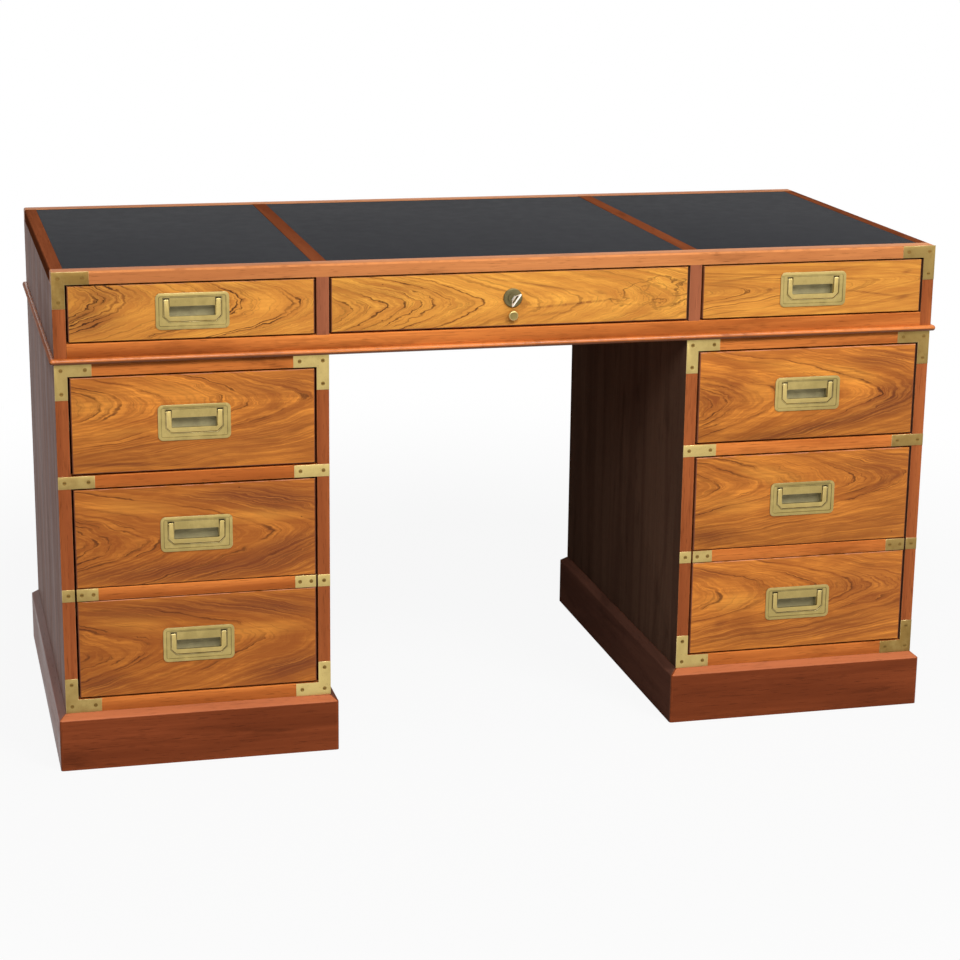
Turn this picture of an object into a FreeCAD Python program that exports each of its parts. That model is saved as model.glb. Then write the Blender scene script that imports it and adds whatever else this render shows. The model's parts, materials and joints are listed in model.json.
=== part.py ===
import FreeCAD, Part
import os
from math import sqrt

# Campaign desk: a writing case with three drawers that stands on two drawer pedestals.
# Millimetres, +Z up, front towards -Y, origin on the floor at the middle of the overall box.

# Overall sizes
desk_width = 1372.0
desk_depth = 636.0
desk_height = 762.0
pedestal_width = 405.0
pedestal_setback = 3.0          # pedestal fronts and backs behind the faces of the case

# Boards
board = 19.0                    # sides, backs, dividers and decks
rail_depth = 19.0               # front rails, front to back
case_bottom_thickness = 12.0

# Top with its leather
top_thickness = 19.0
top_edge_radius = 3.0
top_corner_radius = 4.0
edge_border = 28.0              # wooden border at the front and the back
side_border = 19.0              # wooden border at both ends
cross_bar_width = 22.0
leather_thickness = 1.6
leather_drop = 0.4              # leather below the wooden border

# Heights of the openings and the rails
case_opening = 87.0
case_rail_height = 21.0
bead_height = 9.0
bead_projection = 6.5
upper_opening = 150.0
rail_height = 19.0              # top and middle rail of a pedestal
bottom_rail_height = 20.5
plinth_height = 88.5
plinth_projection = 11.0
plinth_bevel = 9.0              # height of the bevel along the upper edge
plinth_thickness = 19.0

# Drawers
front_gap = 2.8                 # reveal round each drawer front
front_thickness = 20.0
false_rail_height = 19.0
false_rail_depth = 8.0
false_rail_gap = 1.5            # dark line above and below the false rail
box_side = 12.0
box_back = 12.0
box_back_clearance = 35.0       # drawer box to the back of its opening
box_lift = 3.0                  # drawer box above the floor of its opening
box_headroom = 16.0             # drawer box below the top of its opening
file_box_headroom = 75.0
bottom_panel = 6.0
bottom_rise = 8.0               # bottom panel above the lower edge of the box
housing_depth = 6.0             # grooves that hold the bottom panel
housing_clearance = 0.2

# Wooden side runners
runner_height = 14.0
runner_gap = 6.0                # drawer box to the wall beside it
runner_groove = 6.0             # groove depth in the drawer side
runner_clearance = 0.4
runner_stop = 12.0              # solid end of the groove behind the drawer front

# Dowels that locate the case on the pedestals
dowel_radius = 4.0
dowel_up = 12.0
dowel_down = 12.0
dowel_inset = 70.0              # from the corners of the pedestal
dowel_clearance = 0.1

# Brass corner brackets, straps and their screws
bracket_leg = 54.0
brass_thickness = 1.6
brass_proud = 0.6
screw_head_radius = 3.0
screw_radius = 1.5
screw_head_depth = 1.3
screw_length = 12.0
screw_slot = 0.7
screw_clearance = 0.1
screw_end_margin = 9.5          # screw to the end of a leg or strap
drawer_strap_margin = 7.5       # screws to the ends of the short straps on the file drawers

# Recessed pulls
pull_width = 108.0
pull_height = 54.0
pull_corner = 7.5
pull_clearance = 0.1            # plate in its pocket
rim_width = 4.5
rim_proud = 1.5
field_proud = 0.9
field_corner = 3.0
plate_depth = 5.0
channel_side = 11.5             # plate edge to the channel that the bail lies in
channel_top = 7.6
channel_bottom = 11.0
channel_depth = 2.0
tongue_proud = 0.4
tongue_length = 12.4            # from the top of the channel down to the finger well
bail_clearance = 1.0
bail_top_clearance = 2.0
bail_foot_clearance = 1.2
bail_arm = 7.0
bail_bar = 7.2
bail_proud = 1.3
bail_thickness = 3.0
bail_corner = 7.5               # cut across both lower corners
bail_inner_corner = 1.5
cup_depth = 12.0
cup_wall = 1.2
cup_reach = 5.5                 # finger well behind the bar
cup_corner = 3.0
pin_radius = 1.0
pin_clearance = 0.05
pin_length = 2.4
pin_hole_extra = 0.3
pin_depth = 0.6                 # hinge axis behind the drawer face
pin_drop = 2.0                  # hinge axis below the top of the arms
arm_slot_depth = 3.8
arm_slot_height = 7.6

# Lock, key and knob of the centre drawer
lock_rise = 2.5                 # lock axis above the middle of the drawer
lock_flange_radius = 14.5
lock_flange = 3.0
lock_flange_chamfer = 1.2
lock_barrel_radius = 9.5
lock_nut_radius = 13.5
lock_nut = 2.5
lock_clearance = 0.1
plug_radius = 6.0
plug_clearance = 0.05
plug_head_radius = 7.6
plug_head = 1.6
cam_width = 12.0
cam_thickness = 3.0
cam_gap = 0.5                   # cam behind the end of the barrel
cam_engagement = 7.0            # reach of the turned cam above the drawer opening
cam_clearance = 0.6
key_thickness = 2.0
key_blade_height = 7.4
key_blade_length = 24.0
key_neck = 3.0                  # bow in front of the plug
key_bow_length = 18.0
key_bow_height = 24.0
key_bow_corner = 2.0            # cut off at both front corners of the bow
key_slot_length = 14.0
key_slot_width = 8.0
key_slot_edge = 2.8             # bow in front of its slot
key_lean = 36.0                 # degrees that the locked key leans from upright
key_clearance = 0.2
knob_drop = 26.5                # knob below the lock axis
knob_radius = 7.6
knob_reach = 8.5
knob_head = 5.0
knob_edge = 1.2                 # bevel round the rim
knob_dish_radius = 5.6
knob_dish = 1.0
knob_base_radius = 5.5
knob_base = 1.5
knob_neck_radius = 3.2
knob_stud_radius = 2.4
knob_stud = 12.0
knob_clearance = 0.1

# Levels, worked out from the top downwards and from the floor upwards
top_under = desk_height - top_thickness
case_floor = top_under - case_opening
case_base = case_floor - case_rail_height
pedestal_top = case_base - bead_height
upper_ceiling = pedestal_top - rail_height
upper_floor = upper_ceiling - upper_opening
file_ceiling = upper_floor - rail_height
file_floor = plinth_height + bottom_rail_height
false_rail_low = (file_floor + file_ceiling - false_rail_height) / 2
false_rail_high = false_rail_low + false_rail_height
core_top = desk_height - leather_drop - leather_thickness

# Places across the desk
half_width = desk_width / 2
pedestal_centre = half_width - pedestal_width / 2
side_opening = pedestal_width - 2 * board
kneehole_half = half_width - pedestal_width
centre_opening = 2 * kneehole_half
divider_centre = kneehole_half + board / 2

# Places from front to back; the key sets how far the box reaches in front of the case
key_reach = lock_flange + plug_head + key_neck + key_bow_length
back_overhang = max(plinth_projection - pedestal_setback, bead_projection)
case_front = (key_reach - back_overhang - desk_depth) / 2
case_back = case_front + desk_depth
pedestal_front = case_front + pedestal_setback
pedestal_back = case_back - pedestal_setback

lock_z = (case_floor + top_under) / 2 + lock_rise
knob_z = lock_z - knob_drop

pull_centres = {
    "top": (case_floor + top_under) / 2,
    "upper": (upper_floor + upper_ceiling) / 2,
    "file_upper": (false_rail_high + file_ceiling) / 2,
    "file_lower": (file_floor + false_rail_low) / 2,
}

OVERCUT = 1.0                   # how far cutters reach past the face that they open


def block(x0, x1, y0, y1, z0, z1):
    """A box between two corners, given in any order."""
    low = FreeCAD.Vector(min(x0, x1), min(y0, y1), min(z0, z1))
    return Part.makeBox(abs(x1 - x0), abs(y1 - y0), abs(z1 - z0), low)


def rod_y(x, z, radius, y0, y1):
    """A round bar along Y."""
    return Part.makeCylinder(radius, y1 - y0, FreeCAD.Vector(x, y0, z), FreeCAD.Vector(0, 1, 0))


def rod_x(y, z, radius, x0, x1):
    """A round bar along X."""
    start = FreeCAD.Vector(min(x0, x1), y, z)
    return Part.makeCylinder(radius, abs(x1 - x0), start, FreeCAD.Vector(1, 0, 0))


def rod_z(x, y, radius, z0, z1):
    """A round bar along Z."""
    return Part.makeCylinder(radius, z1 - z0, FreeCAD.Vector(x, y, z0), FreeCAD.Vector(0, 0, 1))


def edges_along(shape, axis):
    """The straight edges of a box-like shape that run along one axis (0, 1 or 2)."""
    found = []
    for edge in shape.Edges:
        way = edge.Vertexes[-1].Point - edge.Vertexes[0].Point
        if abs(way[axis]) > 0.999 * way.Length:
            found.append(edge)
    return found


def rounded_slab(x0, x1, y0, y1, z0, z1, radius):
    """A slab that faces the front, with its four corners rounded."""
    slab = block(x0, x1, y0, y1, z0, z1)
    return slab.makeFillet(radius, edges_along(slab, 1))


def cut_slab(x0, x1, y0, y1, z0, z1, cut):
    """A slab that faces the front, with its two lower corners cut off."""
    slab = block(x0, x1, y0, y1, z0, z1)
    edges = [edge for edge in edges_along(slab, 1) if edge.CenterOfMass.z < (z0 + z1) / 2]
    return slab.makeChamfer(cut, edges)


def carve(piece, cutters):
    """The piece without the cutters that reach it."""
    near = [cutter for cutter in cutters if piece.BoundBox.intersect(cutter.BoundBox)]
    return piece.cut(near).Solids[0] if near else piece


def carve_all(pieces, cutters):
    """Every piece without the cutters that reach it."""
    return [carve(piece, cutters) for piece in pieces]


def mitred_frame(x0, x1, y0, y1, outline):
    """Four strips round a rectangle, mitred at the corners.

    outline(n, z) points give the strip's section as a closed wire maker: it is called with a
    function that turns a distance outwards and a height into a point on the strip's plane.
    """
    middle_x = (x0 + x1) / 2
    middle_y = (y0 + y1) / 2
    sides = [
        (FreeCAD.Vector(middle_x, y0, 0), FreeCAD.Vector(0, -1, 0), x1 - x0),
        (FreeCAD.Vector(x1, middle_y, 0), FreeCAD.Vector(1, 0, 0), y1 - y0),
        (FreeCAD.Vector(middle_x, y1, 0), FreeCAD.Vector(0, 1, 0), x1 - x0),
        (FreeCAD.Vector(x0, middle_y, 0), FreeCAD.Vector(-1, 0, 0), y1 - y0),
    ]
    strips = []
    for middle, outwards, length in sides:
        along = FreeCAD.Vector(0, 0, 1).cross(outwards)
        wire, reach_in, reach_out, low, high = outline(middle, outwards)
        whole = length + 4 * reach_out
        strip = Part.Face(wire).extrude(along * whole).translated(along * (-whole / 2))
        corners = []
        for reach, side in ((-reach_in, -1), (reach_out, -1), (reach_out, 1), (-reach_in, 1)):
            point = middle + outwards * reach + along * (side * (length / 2 + reach))
            corners.append(FreeCAD.Vector(point.x, point.y, low - OVERCUT))
        prism = Part.Face(Part.makePolygon(corners + corners[:1]))
        strips.append(strip.common(prism.extrude(FreeCAD.Vector(0, 0, high - low + 2 * OVERCUT))).Solids[0])
    return strips


def bead_outline(middle, outwards):
    """Section of the bead: a flat strip under the case with a half-round nose."""
    def point(n, z):
        return middle + outwards * n + FreeCAD.Vector(0, 0, z)
    radius = bead_height / 2
    start = bead_projection - radius
    nose = Part.Arc(point(start, pedestal_top), point(bead_projection, pedestal_top + radius),
                    point(start, case_base))
    back = Part.makePolygon([point(start, case_base), point(-board, case_base),
                             point(-board, pedestal_top), point(start, pedestal_top)])
    wire = Part.Wire([nose.toShape()] + back.Edges)
    return wire, board, bead_projection, pedestal_top, case_base


def plinth_outline(middle, outwards):
    """Section of a plinth board: its upper edge is bevelled down from the pedestal's face."""
    def point(n, z):
        return middle + outwards * n + FreeCAD.Vector(0, 0, z)
    inner = plinth_thickness - plinth_projection
    wire = Part.makePolygon([
        point(-inner, 0), point(plinth_projection, 0),
        point(plinth_projection, plinth_height - plinth_bevel),
        point(0, plinth_height), point(-inner, plinth_height), point(-inner, 0)])
    return wire, inner, plinth_projection, 0, plinth_height


# Brass fittings: each adds its plate, screws, the pocket for the plate and the pilot holes
def screw_at(x, y, z):
    """A slotted countersunk wood screw whose head is flush at y."""
    forward = FreeCAD.Vector(0, 1, 0)
    head = Part.makeCone(screw_head_radius, screw_radius, screw_head_depth, FreeCAD.Vector(x, y, z), forward)
    shank = rod_y(x, z, screw_radius, y, y + screw_length)
    slot = block(x - screw_head_radius, x + screw_head_radius, y - OVERCUT, y + screw_slot,
                 z - screw_slot / 2, z + screw_slot / 2)
    return head.fuse(shank).removeSplitter().cut(slot).Solids[0]


def screw_seat(x, y, z):
    """The countersunk hole that the screw sits in, through brass and wood."""
    forward = FreeCAD.Vector(0, 1, 0)
    head = Part.makeCone(screw_head_radius + screw_clearance, screw_radius + screw_clearance,
                         screw_head_depth, FreeCAD.Vector(x, y, z), forward)
    hole = rod_y(x, z, screw_radius + screw_clearance, y, y + screw_length)
    return head.fuse(hole).removeSplitter()


def brass_plate(boxes, screws, face):
    """One plate let into the wood at a face, made of boxes (x0, x1, z0, z1), with its screws."""
    front = face - brass_proud
    back = front + brass_thickness
    plate = None
    pocket = None
    for x0, x1, z0, z1 in boxes:
        leaf = block(x0, x1, front, back, z0, z1)
        room = block(x0, x1, front - OVERCUT, back, z0, z1)
        plate = leaf if plate is None else plate.fuse(leaf).removeSplitter()
        pocket = room if pocket is None else pocket.fuse(room).removeSplitter()
    seats = [screw_seat(x, front, z) for x, z in screws]
    return {
        "plate": plate.cut(seats).Solids[0],
        "screws": [screw_at(x, front, z) for x, z in screws],
        "cutters": [pocket] + seats,
    }


def corner_bracket(x, z, right, up, rail, face):
    """An L over the end of a rail and its stile; right and up point from the corner inwards."""
    leg_x = x + right * bracket_leg
    leg_z = z + up * bracket_leg
    boxes = [(x, leg_x, z, z + up * rail), (x, x + right * board, z, leg_z)]
    corner = (x + right * board / 2, z + up * rail / 2)
    screws = [corner, (leg_x - right * screw_end_margin, corner[1]),
              (corner[0], leg_z - up * screw_end_margin)]
    return brass_plate(boxes, screws, face)


def rail_strap(x, right, face):
    """A straight strap over the middle rail's end and the stile beside it."""
    end = x + right * bracket_leg
    middle = upper_floor - rail_height / 2
    screws = [(x + right * screw_end_margin, middle), (end - right * screw_end_margin, middle)]
    return brass_plate([(x, end, file_ceiling, upper_floor)], screws, face)


def stile_strap(x, right, face):
    """The part of a strap that stays on the stile beside the file drawer's false rail."""
    middle = (false_rail_low + false_rail_high) / 2
    box = (x, x + right * board, false_rail_low, false_rail_high)
    return brass_plate([box], [(x + right * board / 2, middle)], face)


def drawer_strap(x, right, face):
    """The part of a strap that goes with the file drawer, on its false rail."""
    start = x + right * (board + front_gap)
    end = x + right * bracket_leg
    middle = (false_rail_low + false_rail_high) / 2
    screws = [(start + right * drawer_strap_margin, middle), (end - right * drawer_strap_margin, middle)]
    return brass_plate([(start, end, false_rail_low, false_rail_high)], screws, face)


# Recessed pulls
def pull(x, centre_z, face):
    """A flush plate with a finger well and a hinged bail, and the pocket they need."""
    top = centre_z + pull_height / 2
    foot = centre_z - pull_height / 2
    half = pull_width / 2
    channel_half = half - channel_side
    channel_high = top - channel_top
    channel_low = foot + channel_bottom
    channel_cut = bail_corner + bail_clearance + bail_foot_clearance - sqrt(2) * bail_clearance
    bail_half = channel_half - bail_clearance
    bail_high = channel_high - bail_top_clearance
    bail_low = channel_low + bail_foot_clearance
    bail_inner = bail_half - bail_arm
    tongue_half = bail_inner - bail_clearance
    tongue_low = channel_high - tongue_length
    cup_low = bail_low + bail_bar - cup_reach
    pin_z = bail_high - pin_drop
    pin_y = face + pin_depth
    front = face - rim_proud - OVERCUT

    plate = rounded_slab(x - half, x + half, face - rim_proud, face + plate_depth, foot, top, pull_corner)
    cup_box = rounded_slab(x - tongue_half - cup_wall, x + tongue_half + cup_wall, face,
                           face + cup_depth + cup_wall, cup_low - cup_wall, tongue_low + cup_wall,
                           cup_corner + cup_wall)
    tongue = block(x - tongue_half, x + tongue_half, face - tongue_proud, face + plate_depth, tongue_low, top)
    field = rounded_slab(x - half + rim_width, x + half - rim_width, front, face - field_proud,
                         foot + rim_width, top - rim_width, field_corner)
    channel = cut_slab(x - channel_half, x + channel_half, front, face + channel_depth,
                       channel_low, channel_high, channel_cut).cut(tongue)
    cup = rounded_slab(x - tongue_half, x + tongue_half, front, face + cup_depth,
                       cup_low, tongue_low, cup_corner)
    slots = []
    for side in (-1, 1):
        slots.append(block(x + side * tongue_half, x + side * channel_half, front, face + arm_slot_depth,
                           channel_high - arm_slot_height, channel_high))
    holes = []
    for side in (-1, 1):
        holes.append(rod_x(pin_y, pin_z, pin_radius + pin_clearance, x + side * (channel_half - OVERCUT),
                           x + side * (bail_half + pin_length + pin_hole_extra)))
    plate = plate.fuse(cup_box).removeSplitter().cut([field, channel, cup] + slots + holes).Solids[0]

    bail = cut_slab(x - bail_half, x + bail_half, face - bail_proud, face - bail_proud + bail_thickness,
                    bail_low, bail_high, bail_corner)
    inside = cut_slab(x - bail_inner, x + bail_inner, front, face + plate_depth,
                      bail_low + bail_bar, bail_high + OVERCUT, bail_inner_corner)
    bail = bail.cut(inside)
    for side in (-1, 1):
        bail = bail.fuse(rod_x(pin_y, pin_z, pin_radius, x + side * (bail_half - bail_arm / 2),
                               x + side * (bail_half + pin_length)))
    bail = bail.removeSplitter().Solids[0]

    pocket = rounded_slab(x - half - pull_clearance, x + half + pull_clearance, front, face + plate_depth,
                          foot - pull_clearance, top + pull_clearance, pull_corner)
    cup_pocket = rounded_slab(
        x - tongue_half - cup_wall - pull_clearance, x + tongue_half + cup_wall + pull_clearance, front,
        face + cup_depth + cup_wall, cup_low - cup_wall - pull_clearance,
        tongue_low + cup_wall + pull_clearance, cup_corner + cup_wall)
    return {"plate": plate, "bail": bail, "cutters": [pocket, cup_pocket]}


# Drawers
def drawer(x, opening, floor, ceiling, face, back_wall, headroom):
    """A drawer front, its box of four boards and the two runners in the carcass."""
    half = opening / 2
    box_half = half - runner_gap
    inner_half = box_half - box_side
    box_low = floor + box_lift
    box_high = ceiling - headroom
    box_start = face + front_thickness
    box_end = back_wall - box_back_clearance
    panel_low = box_low + bottom_rise
    panel_high = panel_low + bottom_panel
    runner_middle = (box_low + box_high) / 2
    runner_low = runner_middle - runner_height / 2
    runner_high = runner_middle + runner_height / 2
    runner_start = box_start + runner_stop

    housing = block(x - inner_half - housing_depth, x + inner_half + housing_depth,
                    box_start - housing_depth, box_end + OVERCUT,
                    panel_low - housing_clearance, panel_high + housing_clearance)
    front = block(x - half + front_gap, x + half - front_gap, face, box_start,
                  floor + front_gap, ceiling - front_gap).cut(housing)
    boards = []
    runners = []
    for side in (-1, 1):
        wall = block(x + side * inner_half, x + side * box_half, box_start, box_end, box_low, box_high)
        groove = block(x + side * (box_half - runner_groove), x + side * (box_half + OVERCUT),
                       runner_start, box_end + OVERCUT,
                       runner_low - runner_clearance, runner_high + runner_clearance)
        boards.append(wall.cut([housing, groove]).Solids[0])
        tip = box_half - runner_groove + runner_clearance
        runners.append(block(x + side * tip, x + side * half, runner_start + runner_clearance, back_wall,
                             runner_low, runner_high))
    boards.append(block(x - inner_half, x + inner_half, box_end - box_back, box_end, panel_high, box_high))
    panel_half = inner_half + housing_depth - housing_clearance
    boards.append(block(x - panel_half, x + panel_half, box_start - housing_depth + housing_clearance,
                        box_end, panel_low, panel_high))
    return {"front": front, "box": boards, "runners": runners}


def false_rail(x, face):
    """The strip across a file drawer front, and the groove that it lies in."""
    half = side_opening / 2 - front_gap
    strip = block(x - half, x + half, face, face + false_rail_depth, false_rail_low, false_rail_high)
    groove = block(x - half - OVERCUT, x + half + OVERCUT, face - OVERCUT, face + false_rail_depth,
                   false_rail_low - false_rail_gap, false_rail_high + false_rail_gap)
    return strip, groove


# Lock of the centre drawer
def centre_lock(face):
    """Lock case with its nut, plug with its cam, key, and the hole through the drawer front."""
    inside = face + front_thickness
    barrel_end = inside + lock_nut
    flange = rod_y(0, lock_z, lock_flange_radius, face - lock_flange, face)
    rim = [edge for edge in flange.Edges if edge.Closed and edge.CenterOfMass.y < face - lock_flange / 2]
    flange = flange.makeChamfer(lock_flange_chamfer, rim)
    barrel = rod_y(0, lock_z, lock_barrel_radius, face, barrel_end)
    bore = rod_y(0, lock_z, plug_radius + plug_clearance, face - lock_flange - OVERCUT, barrel_end + OVERCUT)
    case = flange.fuse(barrel).removeSplitter().cut(bore).Solids[0]
    nut = rod_y(0, lock_z, lock_nut_radius, inside, barrel_end)
    nut_hole = rod_y(0, lock_z, lock_barrel_radius + lock_clearance, inside - OVERCUT, barrel_end + OVERCUT)
    nut = nut.cut(nut_hole).Solids[0]

    head_back = face - lock_flange - lock_clearance
    head_front = face - lock_flange - plug_head
    cam_front = barrel_end + cam_gap
    plug = rod_y(0, lock_z, plug_head_radius, head_front, head_back)
    plug = plug.fuse(rod_y(0, lock_z, plug_radius, head_back, cam_front)).removeSplitter()
    keyway = block(-key_thickness / 2 - key_clearance, key_thickness / 2 + key_clearance,
                   head_front - OVERCUT, head_front + key_blade_length + key_clearance,
                   lock_z - key_blade_height / 2 - key_clearance,
                   lock_z + key_blade_height / 2 + key_clearance)
    axis_point = FreeCAD.Vector(0, face, lock_z)
    axis = FreeCAD.Vector(0, 1, 0)
    plug = plug.cut(keyway.rotated(axis_point, axis, key_lean)).Solids[0]
    cam_tip = cam_reach - cam_width / 2
    cam = rod_y(0, lock_z, cam_width / 2, cam_front, cam_front + cam_thickness)
    cam = cam.fuse(rod_y(cam_tip, lock_z, cam_width / 2, cam_front, cam_front + cam_thickness))
    cam = cam.fuse(block(0, cam_tip, cam_front, cam_front + cam_thickness,
                         lock_z - cam_width / 2, lock_z + cam_width / 2)).removeSplitter().Solids[0]

    bow_back = head_front - key_neck
    bow_front = bow_back - key_bow_length
    left = -key_thickness / 2
    half_bow = key_bow_height / 2
    upper = [(bow_back, key_blade_height / 2), (bow_front + key_bow_corner, half_bow),
             (bow_front, half_bow - key_bow_corner)]
    corners = upper + [(y, -z) for y, z in reversed(upper)]
    points = [FreeCAD.Vector(left, y, lock_z + z) for y, z in corners]
    bow = Part.Face(Part.makePolygon(points + points[:1])).extrude(FreeCAD.Vector(key_thickness, 0, 0))
    slot_front = bow_front + key_slot_edge
    slot_half = (key_slot_length - key_slot_width) / 2
    bow = bow.cut(block(-key_thickness, key_thickness, slot_front, slot_front + key_slot_width,
                        lock_z - slot_half, lock_z + slot_half))
    for side in (-1, 1):
        bow = bow.cut(rod_x(slot_front + key_slot_width / 2, lock_z + side * slot_half, key_slot_width / 2,
                            -key_thickness, key_thickness))
    blade = block(left, -left, bow_back, head_front + key_blade_length,
                  lock_z - key_blade_height / 2, lock_z + key_blade_height / 2)
    key = bow.fuse(blade).removeSplitter().Solids[0].rotated(axis_point, axis, key_lean)

    hole = rod_y(0, lock_z, lock_barrel_radius + lock_clearance, face - OVERCUT, inside + OVERCUT)
    return {"case": [case, nut], "plug": [plug, cam], "key": key, "cutters": [hole]}


def cam_mortise(face):
    """The slot under the top that the turned cam swings into."""
    start = face + front_thickness + lock_nut + cam_gap
    swing = sqrt(cam_reach ** 2 - (top_under - lock_z) ** 2)
    return block(-cam_width / 2 - cam_clearance, swing + cam_clearance, start - cam_clearance,
                 start + cam_thickness + cam_clearance, top_under - OVERCUT,
                 top_under + cam_engagement + cam_clearance)


def centre_knob(face):
    """A small turned knob with a dished face and a stud, and the hole for the stud."""
    front = face - knob_reach
    outline = [(0, face + knob_stud), (knob_stud_radius, face + knob_stud), (knob_stud_radius, face),
               (knob_base_radius, face), (knob_base_radius, face - knob_base),
               (knob_neck_radius, face - knob_base), (knob_neck_radius, front + knob_head),
               (knob_radius, front + knob_head / 2), (knob_radius, front + knob_edge),
               (knob_radius - knob_edge, front), (knob_dish_radius, front), (0, front + knob_dish)]
    points = [FreeCAD.Vector(radius, y, knob_z) for radius, y in outline]
    profile = Part.Face(Part.makePolygon(points + points[:1]))
    knob = profile.revolve(FreeCAD.Vector(0, 0, knob_z), FreeCAD.Vector(0, 1, 0), 360)
    hole = rod_y(0, knob_z, knob_stud_radius + knob_clearance, face - OVERCUT, face + knob_stud)
    return knob.Solids[0], hole


# Carcass of a pedestal
def pedestal(x):
    """Sides, back, decks, rails and plinth of the pedestal at x."""
    half = pedestal_width / 2
    inner = half - board
    rail_back = pedestal_front + rail_depth
    back_wall = pedestal_back - board
    sides = []
    for side in (-1, 1):
        sides.append(block(x + side * inner, x + side * half, pedestal_front, pedestal_back,
                           plinth_height, pedestal_top))
    back = block(x - inner, x + inner, back_wall, pedestal_back, plinth_height, pedestal_top)
    decks = []
    for low, high in ((upper_ceiling, pedestal_top), (plinth_height, plinth_height + board)):
        decks.append(block(x - inner, x + inner, rail_back, back_wall, low, high))
    rails = []
    for low, high in ((upper_ceiling, pedestal_top), (file_ceiling, upper_floor), (plinth_height, file_floor)):
        rails.append(block(x - inner, x + inner, pedestal_front, rail_back, low, high))
    plinth = mitred_frame(x - half, x + half, pedestal_front, pedestal_back, plinth_outline)
    return {"sides": sides, "back": [back], "decks": decks, "rails": rails, "plinth": plinth}


# Writing top
def writing_top():
    """Core, wooden borders with cross bars, and three leather panels."""
    slab = block(-half_width, half_width, case_front, case_back, top_under, desk_height)
    slab = slab.makeFillet(top_corner_radius, edges_along(slab, 2))
    upper = [edge for edge in slab.Edges if edge.BoundBox.ZMin > top_under]
    slab = slab.makeFillet(top_edge_radius, upper)
    front = case_front + edge_border
    back = case_back - edge_border
    inner = half_width - side_border
    strips = [block(-half_width, half_width, case_front, front, top_under, desk_height),
              block(-half_width, half_width, back, case_back, top_under, desk_height),
              block(-half_width, -inner, front, back, top_under, desk_height),
              block(inner, half_width, front, back, top_under, desk_height)]
    borders = [slab.common(strip).Solids[0] for strip in strips]
    core = block(-inner, inner, front, back, top_under, core_top)
    bars = []
    for side in (-1, 1):
        middle = side * divider_centre
        bars.append(block(middle - cross_bar_width / 2, middle + cross_bar_width / 2, front, back,
                          core_top, desk_height))
    leather = []
    bay = divider_centre - cross_bar_width / 2
    for x0, x1 in ((-inner, -bay - cross_bar_width), (-bay, bay), (bay + cross_bar_width, inner)):
        leather.append(block(x0, x1, front, back, core_top, core_top + leather_thickness))
    return {"borders": borders + bars, "core": core, "leather": leather}


cam_reach = top_under - lock_z + cam_engagement

# Case carcass
inside_half = half_width - board
case_wall = case_back - board
rail_back = case_front + rail_depth
case_sides = []
case_dividers = []
case_rail = block(-inside_half, inside_half, case_front, rail_back, case_base, case_floor)
bottom_top = case_base + case_bottom_thickness
for side in (-1, 1):
    case_sides.append(block(side * inside_half, side * half_width, case_front, case_back, case_base, top_under))
    divider = block(side * kneehole_half, side * (kneehole_half + board), case_front, case_wall,
                    bottom_top, top_under)
    case_dividers.append(divider.cut(case_rail).Solids[0])
case_back_board = block(-inside_half, inside_half, case_wall, case_back, case_base, top_under)
case_bottom = block(-inside_half, inside_half, rail_back, case_wall, case_base, bottom_top)
case_bead = mitred_frame(-half_width, half_width, case_front, case_back, bead_outline)
top = writing_top()
pedestals = {"left": pedestal(-pedestal_centre), "right": pedestal(pedestal_centre)}

# Dowels between the case and the pedestals
dowels = []
dowel_holes = []
inner_inset = (rail_depth + pedestal_setback) / 2
for side in (-1, 1):
    places = [(side * (half_width - board / 2), dowel_inset),
              (side * (kneehole_half + dowel_inset), inner_inset)]
    for x, inset in places:
        for y in (case_front + inset, case_back - inset):
            low = pedestal_top - dowel_down
            high = case_base + dowel_up
            dowels.append(rod_z(x, y, dowel_radius, low, high))
            dowel_holes.append(rod_z(x, y, dowel_radius + dowel_clearance, low, high + dowel_clearance))

# Brass on the case and the pedestals
brackets = []
straps = []
for side in (-1, 1):
    brackets.append(corner_bracket(side * half_width, desk_height, -side, -1, top_thickness, case_front))
    for edge, right in ((side * pedestal_centre - pedestal_width / 2, 1),
                        (side * pedestal_centre + pedestal_width / 2, -1)):
        brackets.append(corner_bracket(edge, pedestal_top, right, -1, rail_height, pedestal_front))
        brackets.append(corner_bracket(edge, plinth_height, right, 1, bottom_rail_height, pedestal_front))
        straps.append(rail_strap(edge, right, pedestal_front))
        straps.append(stile_strap(edge, right, pedestal_front))
fittings = brackets + straps
carcass_cutters = list(dowel_holes)
for fitting in fittings:
    carcass_cutters += fitting["cutters"]

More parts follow.
